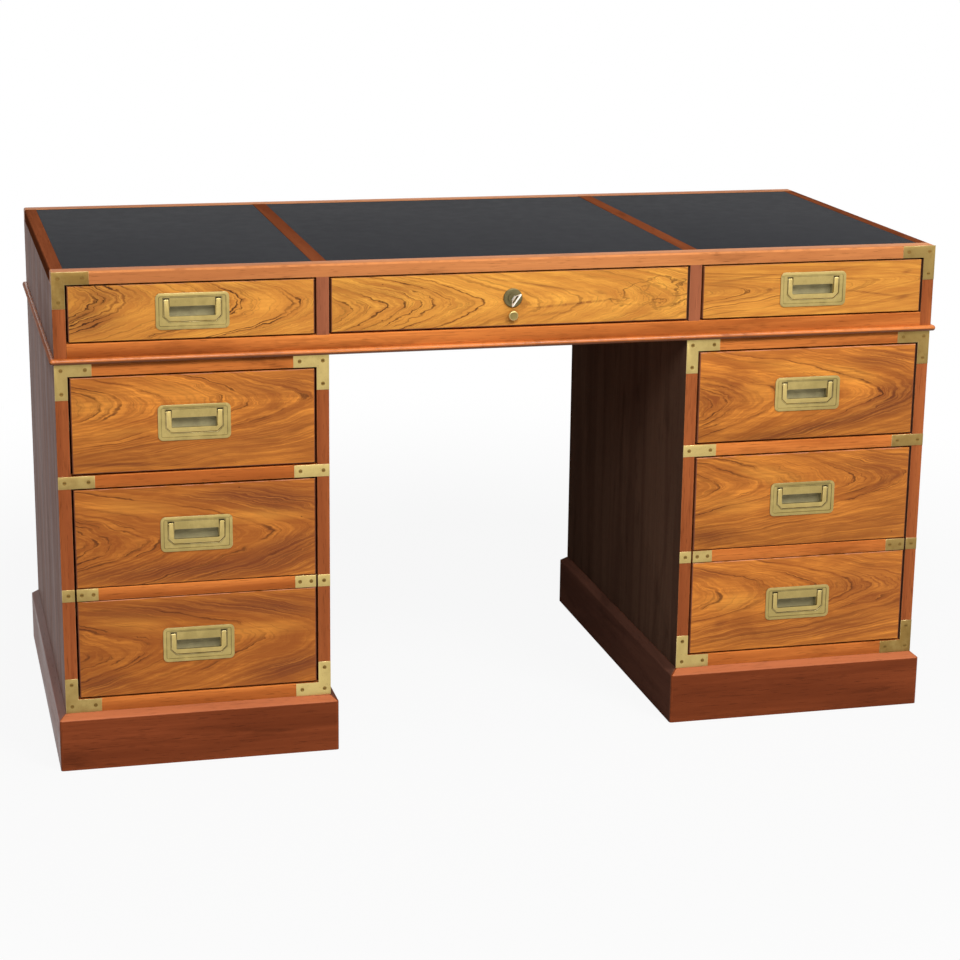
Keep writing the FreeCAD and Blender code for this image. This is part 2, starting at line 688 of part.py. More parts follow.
# Drawers with their pulls
case_back_wall = case_wall
pedestal_back_wall = pedestal_back - board
nodes = {}
runners = []
for name, side in (("left", -1), ("right", 1)):
    x = side * pedestal_centre
    drawers = {
        "top_" + name: drawer(x, side_opening, case_floor, top_under, case_front, case_back_wall, box_headroom),
        "upper_" + name: drawer(x, side_opening, upper_floor, upper_ceiling, pedestal_front,
                                pedestal_back_wall, box_headroom),
        "file_" + name: drawer(x, side_opening, file_floor, file_ceiling, pedestal_front,
                               pedestal_back_wall, file_box_headroom),
    }
    pulls = {
        "top_" + name: [("", pull(x, pull_centres["top"], case_front))],
        "upper_" + name: [("", pull(x, pull_centres["upper"], pedestal_front))],
        "file_" + name: [("_upper", pull(x, pull_centres["file_upper"], pedestal_front)),
                         ("_lower", pull(x, pull_centres["file_lower"], pedestal_front))],
    }
    rail, rail_groove = false_rail(x, pedestal_front)
    rail_fittings = []
    for edge, right in ((x - pedestal_width / 2, 1), (x + pedestal_width / 2, -1)):
        rail_fittings.append(drawer_strap(edge, right, pedestal_front))
    rail_cutters = []
    for fitting in rail_fittings:
        rail_cutters += fitting["cutters"]
    nodes["file_" + name + "_false_rail"] = [carve(rail, rail_cutters)]
    nodes["file_" + name + "_straps"] = [fitting["plate"] for fitting in rail_fittings]
    for fitting in rail_fittings:
        nodes["file_" + name + "_straps"] += fitting["screws"]
    for drawer_name, made in drawers.items():
        cutters = []
        plates = []
        for suffix, shapes in pulls[drawer_name]:
            cutters += shapes["cutters"]
            plates.append(shapes["plate"])
            nodes[drawer_name + suffix + "_bail"] = [shapes["bail"]]
        if drawer_name.startswith("file"):
            cutters += [rail_groove] + rail_cutters
        nodes[drawer_name + "_drawer_front"] = [carve(made["front"], cutters)]
        nodes[drawer_name + "_drawer_box"] = made["box"]
        nodes[drawer_name + "_pull_plate"] = plates
        runners += made["runners"]

# Centre drawer with its lock and knob
centre = drawer(0, centre_opening, case_floor, top_under, case_front, case_back_wall, box_headroom)
lock = centre_lock(case_front)
knob, knob_hole = centre_knob(case_front)
nodes["top_centre_drawer_front"] = [carve(centre["front"], lock["cutters"] + [knob_hole])]
nodes["top_centre_drawer_box"] = centre["box"]
nodes["lock_case"] = lock["case"]
nodes["lock_plug"] = lock["plug"]
nodes["key"] = [lock["key"]]
nodes["centre_knob"] = [knob]
runners += centre["runners"]

# Fixed pieces, with the pockets for brass, screws, dowels and the cam
mortise = cam_mortise(case_front)
nodes["top_lipping"] = carve_all(top["borders"], carcass_cutters + [mortise])
nodes["top_core"] = [carve(top["core"], [mortise])]
nodes["leather_panels"] = top["leather"]
nodes["case_sides"] = carve_all(case_sides, carcass_cutters)
nodes["case_dividers"] = case_dividers
nodes["case_back"] = [carve(case_back_board, dowel_holes)]
nodes["case_bottom"] = [case_bottom]
nodes["case_bottom_rail"] = [carve(case_rail, dowel_holes)]
nodes["case_bead"] = carve_all(case_bead, dowel_holes)
nodes["drawer_runners"] = runners
nodes["locating_dowels"] = dowels
nodes["corner_brackets"] = [bracket["plate"] for bracket in brackets]
nodes["rail_straps"] = [strap["plate"] for strap in straps]
nodes["brass_screws"] = []
for fitting in fittings:
    nodes["brass_screws"] += fitting["screws"]
for name, pieces in pedestals.items():
    for piece, solids in pieces.items():
        nodes["pedestal_" + name + "_" + piece] = carve_all(solids, carcass_cutters)

os.makedirs("parts", exist_ok=True)
for node, solids in nodes.items():
    shape = solids[0] if len(solids) == 1 else Part.makeCompound(solids)
    shape.exportStep("parts/" + node + ".step")
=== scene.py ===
import json
from functools import partialmethod
from math import pi, radians, sqrt

import bmesh
import bpy
from bpy.props import FloatProperty, FloatVectorProperty, PointerProperty
from mathutils import Matrix, Vector

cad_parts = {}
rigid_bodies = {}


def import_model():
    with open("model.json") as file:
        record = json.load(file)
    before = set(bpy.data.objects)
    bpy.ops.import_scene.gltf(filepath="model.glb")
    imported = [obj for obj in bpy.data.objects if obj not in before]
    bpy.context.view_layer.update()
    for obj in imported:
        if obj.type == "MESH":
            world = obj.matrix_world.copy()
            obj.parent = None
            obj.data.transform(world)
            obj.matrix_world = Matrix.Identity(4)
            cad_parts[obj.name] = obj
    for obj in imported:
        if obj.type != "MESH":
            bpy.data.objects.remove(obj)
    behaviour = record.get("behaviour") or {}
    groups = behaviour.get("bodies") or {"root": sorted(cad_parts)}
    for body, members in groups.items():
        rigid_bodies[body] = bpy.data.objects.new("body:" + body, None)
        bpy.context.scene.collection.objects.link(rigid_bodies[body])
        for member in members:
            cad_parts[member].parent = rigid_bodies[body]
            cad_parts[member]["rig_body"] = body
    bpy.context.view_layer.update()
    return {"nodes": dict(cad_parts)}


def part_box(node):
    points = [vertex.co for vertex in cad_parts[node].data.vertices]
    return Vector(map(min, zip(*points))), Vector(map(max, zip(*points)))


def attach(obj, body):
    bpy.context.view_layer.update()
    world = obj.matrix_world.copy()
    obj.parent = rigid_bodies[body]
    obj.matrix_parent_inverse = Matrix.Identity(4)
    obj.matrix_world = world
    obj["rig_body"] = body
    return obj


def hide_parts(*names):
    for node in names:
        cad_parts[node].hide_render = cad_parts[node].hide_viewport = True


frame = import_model()

bl_info = {
    "name": "Campaign desk",
    "version": (1, 0, 0),
    "blender": (4, 5, 0),
    "location": "3D View > Sidebar > Desk",
    "description": "Dresses the campaign desk in polished wood, figured veneer, leather and aged brass",
    "category": "Object",
}

SHARP = radians(30)             # edges bent more than this are rounded
SMOOTH = radians(40)            # faces bent less than this are shaded as one
FLAT = radians(0.5)             # faces bent less than this are made one
MERGE = 1e-6                    # points closer than this are made one, in metres
NEAR = 1e-4                     # places closer than this count as the same, in metres
WORN = "worn"                   # face attribute of rounded edges
DIRT_AND_SHADE = "dirty"                 # face attribute of darkened faces: painted shade under the bead and round the drawer fronts, dirt and painted shade along the steps of the pulls, and the upper sides of the bails
GRAIN_TURNS = {"x": (0, 0, 0), "y": (0, 0, -pi / 2), "z": (0, pi / 2, 0)}
FLATTENING = 14.0               # how fast the lines of a figure flatten away from its points, per metre
FIGURE_NUMBERS = ("Tip", "Reach", "Lean", "Spread", "Spacing", "Wave", "Crinkle", "Seed")
EDGE_RUB = 0.45                 # how bright the rubbed edges of brass are
PAINTED_SHEEN_SPAN = (0.28, 0.76)     # painted reflection: the mounts turn from clean to tarnished between these distances from the middle
PAINTED_SHEEN_MIDDLE = -0.1           # where the painted reflection leaves the mounts cleanest and brightest along X
PAINTED_SHEEN_TOP = (0.64, 0.68)   # above these heights the painted reflection leaves the mounts tarnished
PLATE_DEPTH = 0.0005            # edges of a pull plate are rounded down to here behind the drawer face
LOCK_DEPTH = 0.002              # likewise for the lock, behind its own front
KNOB_DEPTH = 0.004              # likewise for the knob
KNOB_DISH = 0.8                 # radius of the knob's dished face, as a share of the knob's
LAMP_AIM = Vector((0, 0, 0.4))
FLOOR_SIZE = 80.0
WHITE = (1, 1, 1, 1)
HALO_WIDTH = 4.5                # width of the shade beside a dark line, in widths of the line
FRAY = 1.3                      # how far the hairs fray a dark line, in widths of the line
PAINTED_SHADE = 0.85                     # strength of the painted shade on wood and veneer
WOOD_SHADE_SHARE = 0.25                # colour of the painted shade on wood, as a share of its dark streaks
WOOD_RUBBED = 1.35              # colour of rubbed wood, as a share of its light streaks

# Edges shorter than these keep their corner, in metres
BOARD_EDGE = 0.06
BRACKET_EDGE = 0.008
BAIL_EDGE = 0.0025
KEY_EDGE = 0.0018
LOCK_EDGE = 0.0008
PLATE_EDGE = 0.00045
KNOB_EDGE = 0.0004

# Depth of the bumps, in metres
WOOD_RELIEF = 0.00006
VENEER_RELIEF = 0.00005
LEATHER_RELIEF = 0.00005
BRASS_RELIEF = 0.00003

# Place and size of each lamp
LAMPS = {
    "key": ((2.2, -4.0, 4.6), 2.0),
    "front": ((-0.8, -4.2, 3.8), 1.8),
    "overhead": ((0.4, -0.8, 3.4), 2.4),
}

# A face counts as one of these where its normal points further along the axis than this
CROSSWISE = 0.7                 # front or back of a board in a drawer box
SIDEWAYS = 0.3                  # left or right side of a board
BEVEL = (0.3, 0.95)             # bevel of a plinth, between these
UNDERSIDE = 0.1                 # lower half of the bead, which gets painted shade
UPPER_ARRIS = 0.3               # rounded upper edge of a drawer front
FRONT_SIDE = 0.9                # upright side of a drawer front
UPPER_SIDE = 0.5                # upper side of a bail
PLATE_FIELD = 0.99              # field of a pull plate
KNOB_FRONT = 0.9                # face of the knob
SLOT_WALL = 0.3                 # wall of the slot in the key, less than this along the flat of the bow

# Layers on a plain wood: strength, and colour as a share of its dark streaks
WOOD_LAYERS = {"Fibre": (0.40, 1.0), "Stains": (0.55, 0.6), "Pores": (0.45, 0.35)}

# Noises: waves per metre along X, Y and Z, detail, roughness, distortion, and the span spread to 0 to 1
NOISES = {
    "tone": ((1.6, 26, 26), 3.0, 0.55, 0.6, 0.30, 0.70),
    "fibre": ((9, 330, 330), 3.0, 0.6, 0.0, 0.32, 0.68),
    "pores": ((42, 900, 900), 1.0, 0.5, 0.0, 0.62, 0.72),
    "stains": ((7, 34, 34), 4.0, 0.62, 0.4, 0.53, 0.72),
    "wood polish": ((3, 24, 24), 3.0, 0.6, 0.0, 0.3, 0.7),
    "unrest": ((7, 7, 19), 2.0, 0.5, 0.0),
    "jag": ((60, 60, 130), 2.0, 0.6, 0.0),
    "curl": ((24, 24, 58), 3.0, 0.55, 0.5),
    "hairs": ((130, 20, 1), 4.0, 0.68, 0.0, 0.38, 0.62),
    "streaks": ((9, 9, 260), 3.0, 0.62, 0.0, 0.34, 0.66),
    "fade": ((16, 16, 40), 2.0, 0.6, 0.0, 0.34, 0.60),
    "clouds": ((9, 9, 26), 4.0, 0.6, 0.8, 0.36, 0.66),
    "veneer polish": ((9, 9, 16), 3.0, 0.55, 0.0, 0.3, 0.7),
    "fine patina": ((55, 55, 55), 4.0, 0.6, 0.0),
    "broad patina": ((3.3, 3.3, 3.3), 1.0, 0.5, 0.0),
    "specks": ((650, 650, 650), 2.0, 0.6, 0.0, 0.62, 0.74),
    "scratches": ((160, 160, 2600), 2.0, 0.7, 0.0),
    "broken wear": ((60, 60, 60), 3.0, 0.6, 0.0, 0.30, 0.60),
    "rubbed leather": ((5, 5, 5), 4.0, 0.6, 0.0, 0.35, 0.75),
    "mottle": ((45, 45, 45), 4.0, 0.65, 0.0),
    "wrinkles": ((420, 420, 420), 3.0, 0.6, 0.0),
    "floor": ((1.5, 1.5, 1.5), 2.0, 0.5, 0.0),
}

# Woods: colours, roughness, wear of the edges and gloss
WOODS = {
    "rail": ("mahogany", 0.36, 0.5, 0.06),
    "upright": ("upright", 0.42, 0.5, 0.03),
    "long border": ("border", 0.40, 0.4, 0.03),
    "cross bar": ("bar", 0.45, 0.3, 0.0),
    "divider": ("divider", 0.42, 0.5, 0.03),
    # darker copies of the boards' wood for their outer faces and their kneehole faces: painted shade
    "side panel": ("panel", 0.45, 0.5, 0.03),
    "kneehole": ("kneehole", 0.6, 0.5, 0.0),
    "front bead": ("mahogany", 0.26, 0.2, 0.30),
    "side bead": ("upright", 0.45, 0.2, 0.02),
    "plinth": ("plinth", 0.34, 0.8, 0.06),
    # painted highlight on the plinths' bevel
    "rubbed plinth": ("rubbed_plinth", 0.34, 0.4, 0.06),
    "shaded plinth": ("shaded_plinth", 0.5, 0.4, 0.0),
    "drawer wood": ("drawer_wood", 0.55, 0.2, 0.06),
}

# Metals: clean colour and its strength, tarnished colour and its strength, roughness, how metallic it is, and
# how far a painted reflection, clean in the middle and tarnished at the ends and the top, takes the place of
# the tarnish
METALS = {
    "pull brass": ("brass", 1.0, "brass_patina", 1.0, 0.34, 1.0, 0.0),
    "bail brass": ("brass", 1.12, "brass_patina", 1.15, 0.42, 1.0, 0.0),
    "pull rim brass": ("brass_patina", 1.0, "brass_patina", 0.8, 0.38, 1.0, 0.0),
    "dull brass": ("brass_dull", 1.0, "brass_dull", 0.7, 0.55, 0.35, 0.0),
    "bracket brass": ("bracket_brass", 1.0, "bracket_patina", 1.0, 0.40, 1.0, 0.75),
    "screw brass": ("bracket_patina", 1.15, "bracket_patina", 0.85, 0.5, 1.0, 0.0),
    "screw slot brass": ("brass_grime", 0.8, "brass_grime", 0.5, 0.7, 1.0, 0.0),
    "lock brass": ("lock_brass", 1.0, "lock_brass", 0.65, 0.42, 1.0, 0.0),
    "knob face brass": ("brass_patina", 0.75, "brass_patina", 0.55, 0.42, 1.0, 0.0),
    "nickelled key": ("key_steel", 1.0, "key_steel", 0.85, 0.5, 0.15, 0.0),
}

# Where each wood is, its light streaks and its dark streaks
WOOD_COLOURS = {
    "mahogany": ("the rails", (0.680, 0.212, 0.044), (0.360, 0.090, 0.017)),
    "upright": ("the uprights", (0.435, 0.124, 0.035), (0.260, 0.066, 0.020)),
    "border": ("the long borders of the top", (0.590, 0.225, 0.072), (0.420, 0.140, 0.044)),
    "bar": ("the short borders and the cross bars", (0.245, 0.068, 0.025), (0.160, 0.042, 0.016)),
    "divider": ("the dividers", (0.400, 0.128, 0.058), (0.270, 0.085, 0.040)),
    # darker colours for the outer faces and the kneehole faces: painted shade
    "panel": ("the outer faces of the sides", (0.190, 0.056, 0.020), (0.120, 0.032, 0.012)),
    "kneehole": ("the sides towards the kneehole", (0.160, 0.086, 0.054), (0.110, 0.056, 0.036)),
    "plinth": ("the plinths", (0.235, 0.053, 0.016), (0.145, 0.031, 0.009)),
    # painted highlight on the plinths' bevel
    "rubbed_plinth": ("the plinths' bevel", (0.500, 0.152, 0.058), (0.380, 0.110, 0.040)),
    "shaded_plinth": ("the plinths' inner sides", (0.150, 0.062, 0.040), (0.100, 0.042, 0.028)),
    "case_veneer": ("the case drawers' veneer", (0.840, 0.395, 0.064), (0.430, 0.142, 0.026)),
    "pedestal_veneer": ("the pedestal drawers' veneer", (0.840, 0.305, 0.046), (0.250, 0.062, 0.013)),
    "drawer_wood": ("the insides of the drawers", (0.480, 0.300, 0.155), (0.330, 0.180, 0.085)),
}
OTHER_COLOURS = {
    "veneer_glow": ("Bright places of the veneer", (0.960, 0.420, 0.066)),
    # painted highlight along the upper edges of the drawer fronts
    "veneer_rubbed": ("Upper edges of the drawer fronts", (0.640, 0.280, 0.165)),
    # dark places of the veneer, and the painted shade round the drawer fronts
    "veneer_shadow": ("Dark places of the veneer", (0.120, 0.032, 0.015)),
    "veneer_lines": ("Dark lines of the veneer", (0.045, 0.014, 0.006)),
    "leather": ("Black leather of the top", (0.018, 0.0185, 0.021)),
    "leather_rubbed": ("Rubbed places of the leather", (0.023, 0.0235, 0.026)),
    "brass": ("Brass of the pulls", (0.550, 0.415, 0.150)),
    "brass_patina": ("Tarnish on the pulls", (0.415, 0.312, 0.110)),
    "bracket_brass": ("Brass of the brackets and straps", (0.640, 0.485, 0.180)),
    "bracket_patina": ("Tarnish on the brackets and straps", (0.250, 0.148, 0.040)),
    "brass_bright": ("Rubbed edges of the brass", (0.840, 0.700, 0.380)),
    # dirt and painted shade in the slots of the screws and the key and along the steps of the pulls
    "brass_grime": ("Dirt in the corners of the brass", (0.110, 0.085, 0.030)),
    "brass_dull": ("Brass inside the finger wells", (0.440, 0.385, 0.205)),
    "lock_brass": ("Brass of the lock", (0.205, 0.168, 0.078)),
    "key_steel": ("Nickelled key", (0.950, 0.930, 0.860)),
}

# Figure of each veneered panel. Lengths in metres, from the middle of the panel.
# tip: height of the line of points; lean: slope of that line; reach: how drawn out the points are;
# spread: how blunt they are; wave: unrest; marks: where dark lines have their points; line: half the width
# of a dark line; ink: its strength; halo: strength of the shade beside it; bands: strength of the broad
# bands; spacing: their distance; shade: how far the ground is from the light colour to the dark one;
# patches: dark places as x, z, half width, half height, slope, strength; glows: bright places, likewise;
# knots: rings as x, z, half width, half height; crinkle: how jagged the lines are; streaks: strength of
# the fine level streaks; hold: how much of a dark line is left where it fades.
GOLDEN = dict(line=0.0027, ink=0.90, halo=0.30, bands=0.36, spacing=0.030, wave=0.016, crinkle=0.022,
              streaks=0.22, hold=0.40, knots=(), glows=())
FLAMED = dict(line=0.0034, ink=0.60, halo=0.34, bands=0.40, spacing=0.046, wave=0.026, crinkle=0.014,
              streaks=0.32, hold=0.05, knots=(), reach=2.7, tip=0.029, lean=-0.015, spread=0.013)
FORKED = dict(line=0.0034, ink=0.66, halo=0.36, bands=0.44, spacing=0.040, wave=0.026, crinkle=0.014,
              streaks=0.32, hold=0.05, knots=(), reach=1.9, tip=-0.004, lean=0.03, spread=0.010)
KNOT_RINGS = ((0.65, 0.5), (1.30, 0.8))     # size and strength of the lines of a knot
FIGURES = {
    "top_left": dict(
        GOLDEN, tip=0.013, lean=-0.05, reach=1.9, spread=0.011, shade=0.22, seed=3.1,
        marks=(-0.145, -0.132, -0.122, -0.113, -0.105, -0.095, -0.074, 0.067, 0.075, 0.144, 0.156),
        patches=((-0.150, -0.010, 0.055, 0.026, 0.05, 0.9), (-0.120, 0.026, 0.075, 0.014, -0.05, 0.7),
                 (0.060, 0.030, 0.060, 0.010, 0.0, 0.5)),
        glows=((0.105, 0.004, 0.040, 0.020, 0.0, 0.6),)),
    "top_centre": dict(
        GOLDEN, tip=-0.006, lean=0.0, reach=2.0, spread=0.007, shade=0.0, seed=11.4, ink=0.82,
        marks=(-0.240, -0.213, -0.191, -0.163, -0.139, -0.115, -0.092, -0.044),
        patches=((-0.200, 0.022, 0.110, 0.014, -0.03, 0.5), (0.0, -0.028, 0.03, 0.010, 0.0, 0.3),
                 (0.095, -0.010, 0.080, 0.0024, 0.07, 0.9), (0.030, 0.022, 0.090, 0.0022, -0.17, 0.7),
                 (0.138, 0.006, 0.012, 0.004, -0.2, 0.8), (0.060, -0.024, 0.040, 0.003, 0.1, 0.6)),
        glows=((-0.180, -0.022, 0.120, 0.014, 0.0, 0.5),), knots=((0.218, 0.004, 0.056, 0.019),)),
    "top_right": dict(
        GOLDEN, tip=0.004, lean=0.04, reach=8.0, spread=0.010, shade=0.10, seed=27.9, ink=0.72,
        line=0.0045, spacing=0.085, streaks=0.50, marks=(0.040, -0.025, -0.110, -0.200, -0.280),
        patches=((-0.150, 0.008, 0.030, 0.012, 0.1, 0.45), (0.152, -0.018, 0.014, 0.005, 0.3, 0.8),
                 (-0.066, 0.002, 0.014, 0.003, 0.1, 0.8), (0.156, 0.022, 0.010, 0.004, 0.2, 0.7),
                 (-0.110, 0.020, 0.065, 0.002, 0.1, 0.8), (-0.110, -0.012, 0.065, 0.002, 0.12, 0.7),
                 (0.100, -0.010, 0.055, 0.0022, -0.14, 0.9), (0.020, 0.027, 0.080, 0.0018, 0.12, 0.6),
                 (0.020, 0.028, 0.080, 0.009, 0.0, 0.4)),
        glows=((-0.110, -0.022, 0.110, 0.016, 0.0, 0.6),)),
    "upper_left": dict(
        FLAMED, shade=0.06, seed=5.7, marks=(-0.144, -0.112, -0.036, 0.047, 0.085, 0.163),
        patches=((-0.100, -0.061, 0.120, 0.004, -0.04, 0.8), (0.0, -0.040, 0.190, 0.030, 0.0, 0.4),
                 (0.120, -0.010, 0.070, 0.040, 0.1, 0.4), (0.130, 0.052, 0.100, 0.022, 0.0, 0.6)),
        glows=((-0.145, 0.032, 0.050, 0.026, 0.0, 0.6), (0.0, 0.040, 0.100, 0.020, -0.1, 0.4),
               (-0.110, -0.012, 0.070, 0.010, 0.05, 0.35))),
    "file_left_upper": dict(
        FORKED, shade=0.34, seed=41.3, marks=(-0.162, -0.144, -0.123, -0.104, -0.086, -0.066, 0.110),
        patches=((0.130, -0.032, 0.085, 0.024, 0.25, 1.0), (0.110, 0.048, 0.110, 0.024, -0.1, 1.0),
                 (0.000, -0.055, 0.240, 0.022, 0.02, 1.0), (0.040, 0.056, 0.090, 0.010, 0.0, 0.6)),
        glows=((0.095, 0.024, 0.080, 0.014, 0.0, 0.55), (-0.090, 0.046, 0.080, 0.014, -0.1, 0.45))),
    "file_left_lower": dict(
        FORKED, shade=0.40, seed=44.6, marks=(-0.168, -0.150, -0.130, -0.108, -0.080, -0.066, 0.100),
        patches=((0.140, -0.050, 0.090, 0.024, 0.20, 1.0), (0.120, 0.046, 0.085, 0.016, -0.1, 0.9),
                 (0.000, 0.056, 0.240, 0.016, 0.0, 0.8), (-0.150, -0.055, 0.060, 0.020, 0.0, 0.8)),
        glows=((0.090, 0.014, 0.080, 0.014, 0.0, 0.5), (-0.100, 0.036, 0.070, 0.016, -0.1, 0.4))),
    "upper_right": dict(
        FORKED, shade=0.12, seed=42.2, marks=(-0.158, -0.135, -0.110, -0.090, -0.050, 0.120),
        patches=((0.130, -0.020, 0.090, 0.028, 0.32, 1.0), (0.010, -0.055, 0.130, 0.012, 0.16, 0.85),
                 (0.130, 0.052, 0.085, 0.022, 0.0, 0.75), (-0.140, 0.012, 0.055, 0.036, 0.0, 0.5),
                 (0.155, 0.000, 0.050, 0.060, 0.0, 0.4)),
        glows=((-0.010, 0.040, 0.090, 0.016, -0.15, 0.65), (0.075, 0.026, 0.060, 0.016, -0.25, 0.65),
               (-0.080, 0.004, 0.035, 0.026, 0.0, 0.45))),
    "file_right_upper": dict(
        FLAMED, shade=0.10, seed=6.3, marks=(-0.140, -0.080, -0.033, 0.090, 0.130, 0.172),
        patches=((0.140, 0.020, 0.045, 0.006, 0.45, 0.75), (0.0, -0.045, 0.190, 0.024, 0.0, 0.35),
                 (0.130, 0.050, 0.090, 0.022, 0.0, 0.5), (-0.150, -0.055, 0.060, 0.016, 0.0, 0.7)),
        glows=((-0.050, 0.040, 0.080, 0.018, -0.3, 0.7), (-0.110, -0.004, 0.060, 0.018, 0.0, 0.5))),
    "file_right_lower": dict(
        FLAMED, tip=0.018, shade=0.16, seed=7.2, marks=(-0.135, -0.057, 0.030, 0.098, 0.175),
        patches=((-0.130, -0.030, 0.014, 0.006, 0.2, 0.7), (0.0, -0.050, 0.240, 0.026, 0.0, 0.6),
                 (0.140, 0.020, 0.110, 0.070, 0.0, 0.6), (-0.160, 0.056, 0.050, 0.014, 0.0, 0.6)),
        glows=((-0.110, 0.006, 0.060, 0.018, 0.0, 0.75),)),
}


# Properties
def length(name, description, default):
    """A property for a size in metres."""
    return FloatProperty(name=name, description=description, default=default, min=0.0, unit="LENGTH",
                         precision=4)


def angle(name, description, degrees):
    """A property for an angle."""
    return FloatProperty(name=name, description=description, default=radians(degrees), subtype="ANGLE")


def power(name, description, watts):
    """A property for a lamp's power."""
    return FloatProperty(name=name, description=description, default=watts, unit="POWER")


def colour(key, description, default):
    """A property for a colour, in linear light."""
    return FloatVectorProperty(name=key.replace("_", " ").capitalize(), description=description,
                               default=default, size=3, min=0.0, max=1.0, subtype="COLOR")


def colour_properties():
    """A property for every colour of the tables."""
    rows = dict(OTHER_COLOURS)
    for key, (where, light, dark) in WOOD_COLOURS.items():
        rows[key + "_light"] = ("Light streaks of " + where, light)
        rows[key + "_dark"] = ("Dark streaks of " + where, dark)
    return {key: colour(key, *row) for key, row in rows.items()}


class DeskSizes(bpy.types.PropertyGroup):
    """Sizes that only the looks need"""

    wood_arris: length("Wood arris", "Rounding of the long edges of boards", 0.0008)
    front_arris: length("Front arris", "Rounding of the drawer fronts", 0.0014)
    top_rounding: length("Top rounding", "Rounding of the outer edge of the top", 0.003)
    bead_rounding: length("Bead rounding", "Half the height of the bead", 0.0043)
    plinth_corner: length("Plinth corner", "Rounding of the plinth's upright corners", 0.0035)
    plinth_bevel: length("Plinth bevel", "Height of the bevel along the plinth's upper edge", 0.009)
    plinth_board: length("Plinth board", "Thickness of the plinth's boards", 0.019)
    cross_bar: length("Cross bar", "Width of the bars between the leather panels", 0.022)
    leather_arris: length("Leather arris", "Rounding of the leather along its edges", 0.0007)
    brass_arris: length("Brass arris", "Rounding of brackets and straps", 0.0004)
    pull_arris: length("Pull arris", "Rounding of the steps of a pull plate", 0.0004)
    bail_arris: length("Bail arris", "Rounding of a bail", 0.0008)
    rim_step: length("Rim step", "How far a pull's field lies behind its rim", 0.0006)
    rim_width: length("Rim width", "Width of a pull's rim", 0.0045)
    # strips of dirt and painted shade along the steps of a pull
    dirt_and_shade_width: length("Dirt width", "Width of the dirty strips along the steps of a pull", 0.0009)
    largest_screw: length("Largest screw", "Loose parts of the brass narrower than this are screws", 0.008)
    cam_width: length("Cam width", "Width of the lock's cam", 0.012)
    cam_thickness: length("Cam thickness", "Thickness of the lock's cam", 0.003)
    cam_room: length("Cam room", "Gap round the turned cam in its slot", 0.0006)
    key_slot_end: length("Key slot end", "How far behind the front of its bow the key's slot ends", 0.0109)
    key_slot_half: length("Key slot half", "Half the height of the key's slot", 0.0073)
    cup_start: length("Cup start", "How far behind the drawer face the dull finger well starts", 0.0022)


class DeskColours(bpy.types.PropertyGroup):
    """Colours of the finishes"""

    __annotations__ = colour_properties()


class DeskStage(bpy.types.PropertyGroup):
    """Camera and light"""

    camera_place: FloatVectorProperty(name="Camera place", description="Where the camera stands", size=3,
                                      default=(-0.9039, -3.6994, 1.3622), subtype="TRANSLATION",
                                      unit="LENGTH")
    camera_turn: angle("Camera turn", "How far the camera looks to the right", 14.177)
    camera_tilt: angle("Camera tilt", "How far the camera looks down", 15.084)
    camera_roll: angle("Camera roll", "How far the camera leans", 0.694)
    camera_lens: FloatProperty(name="Lens", description="Focal length on a 36 mm wide sensor", default=88.5,
                               unit="CAMERA")
    key_power: power("Key power", "Soft box in front on the right", 244.0)
    front_power: power("Front power", "Soft box in front", 152.0)
    overhead_power: power("Overhead power", "Soft box overhead", 22.0)
    room_light: FloatProperty(name="Room light", description="Brightness of the room", default=0.14)


def colours():
    return bpy.context.scene.desk_colours


def sizes():
    return bpy.context.scene.desk_sizes


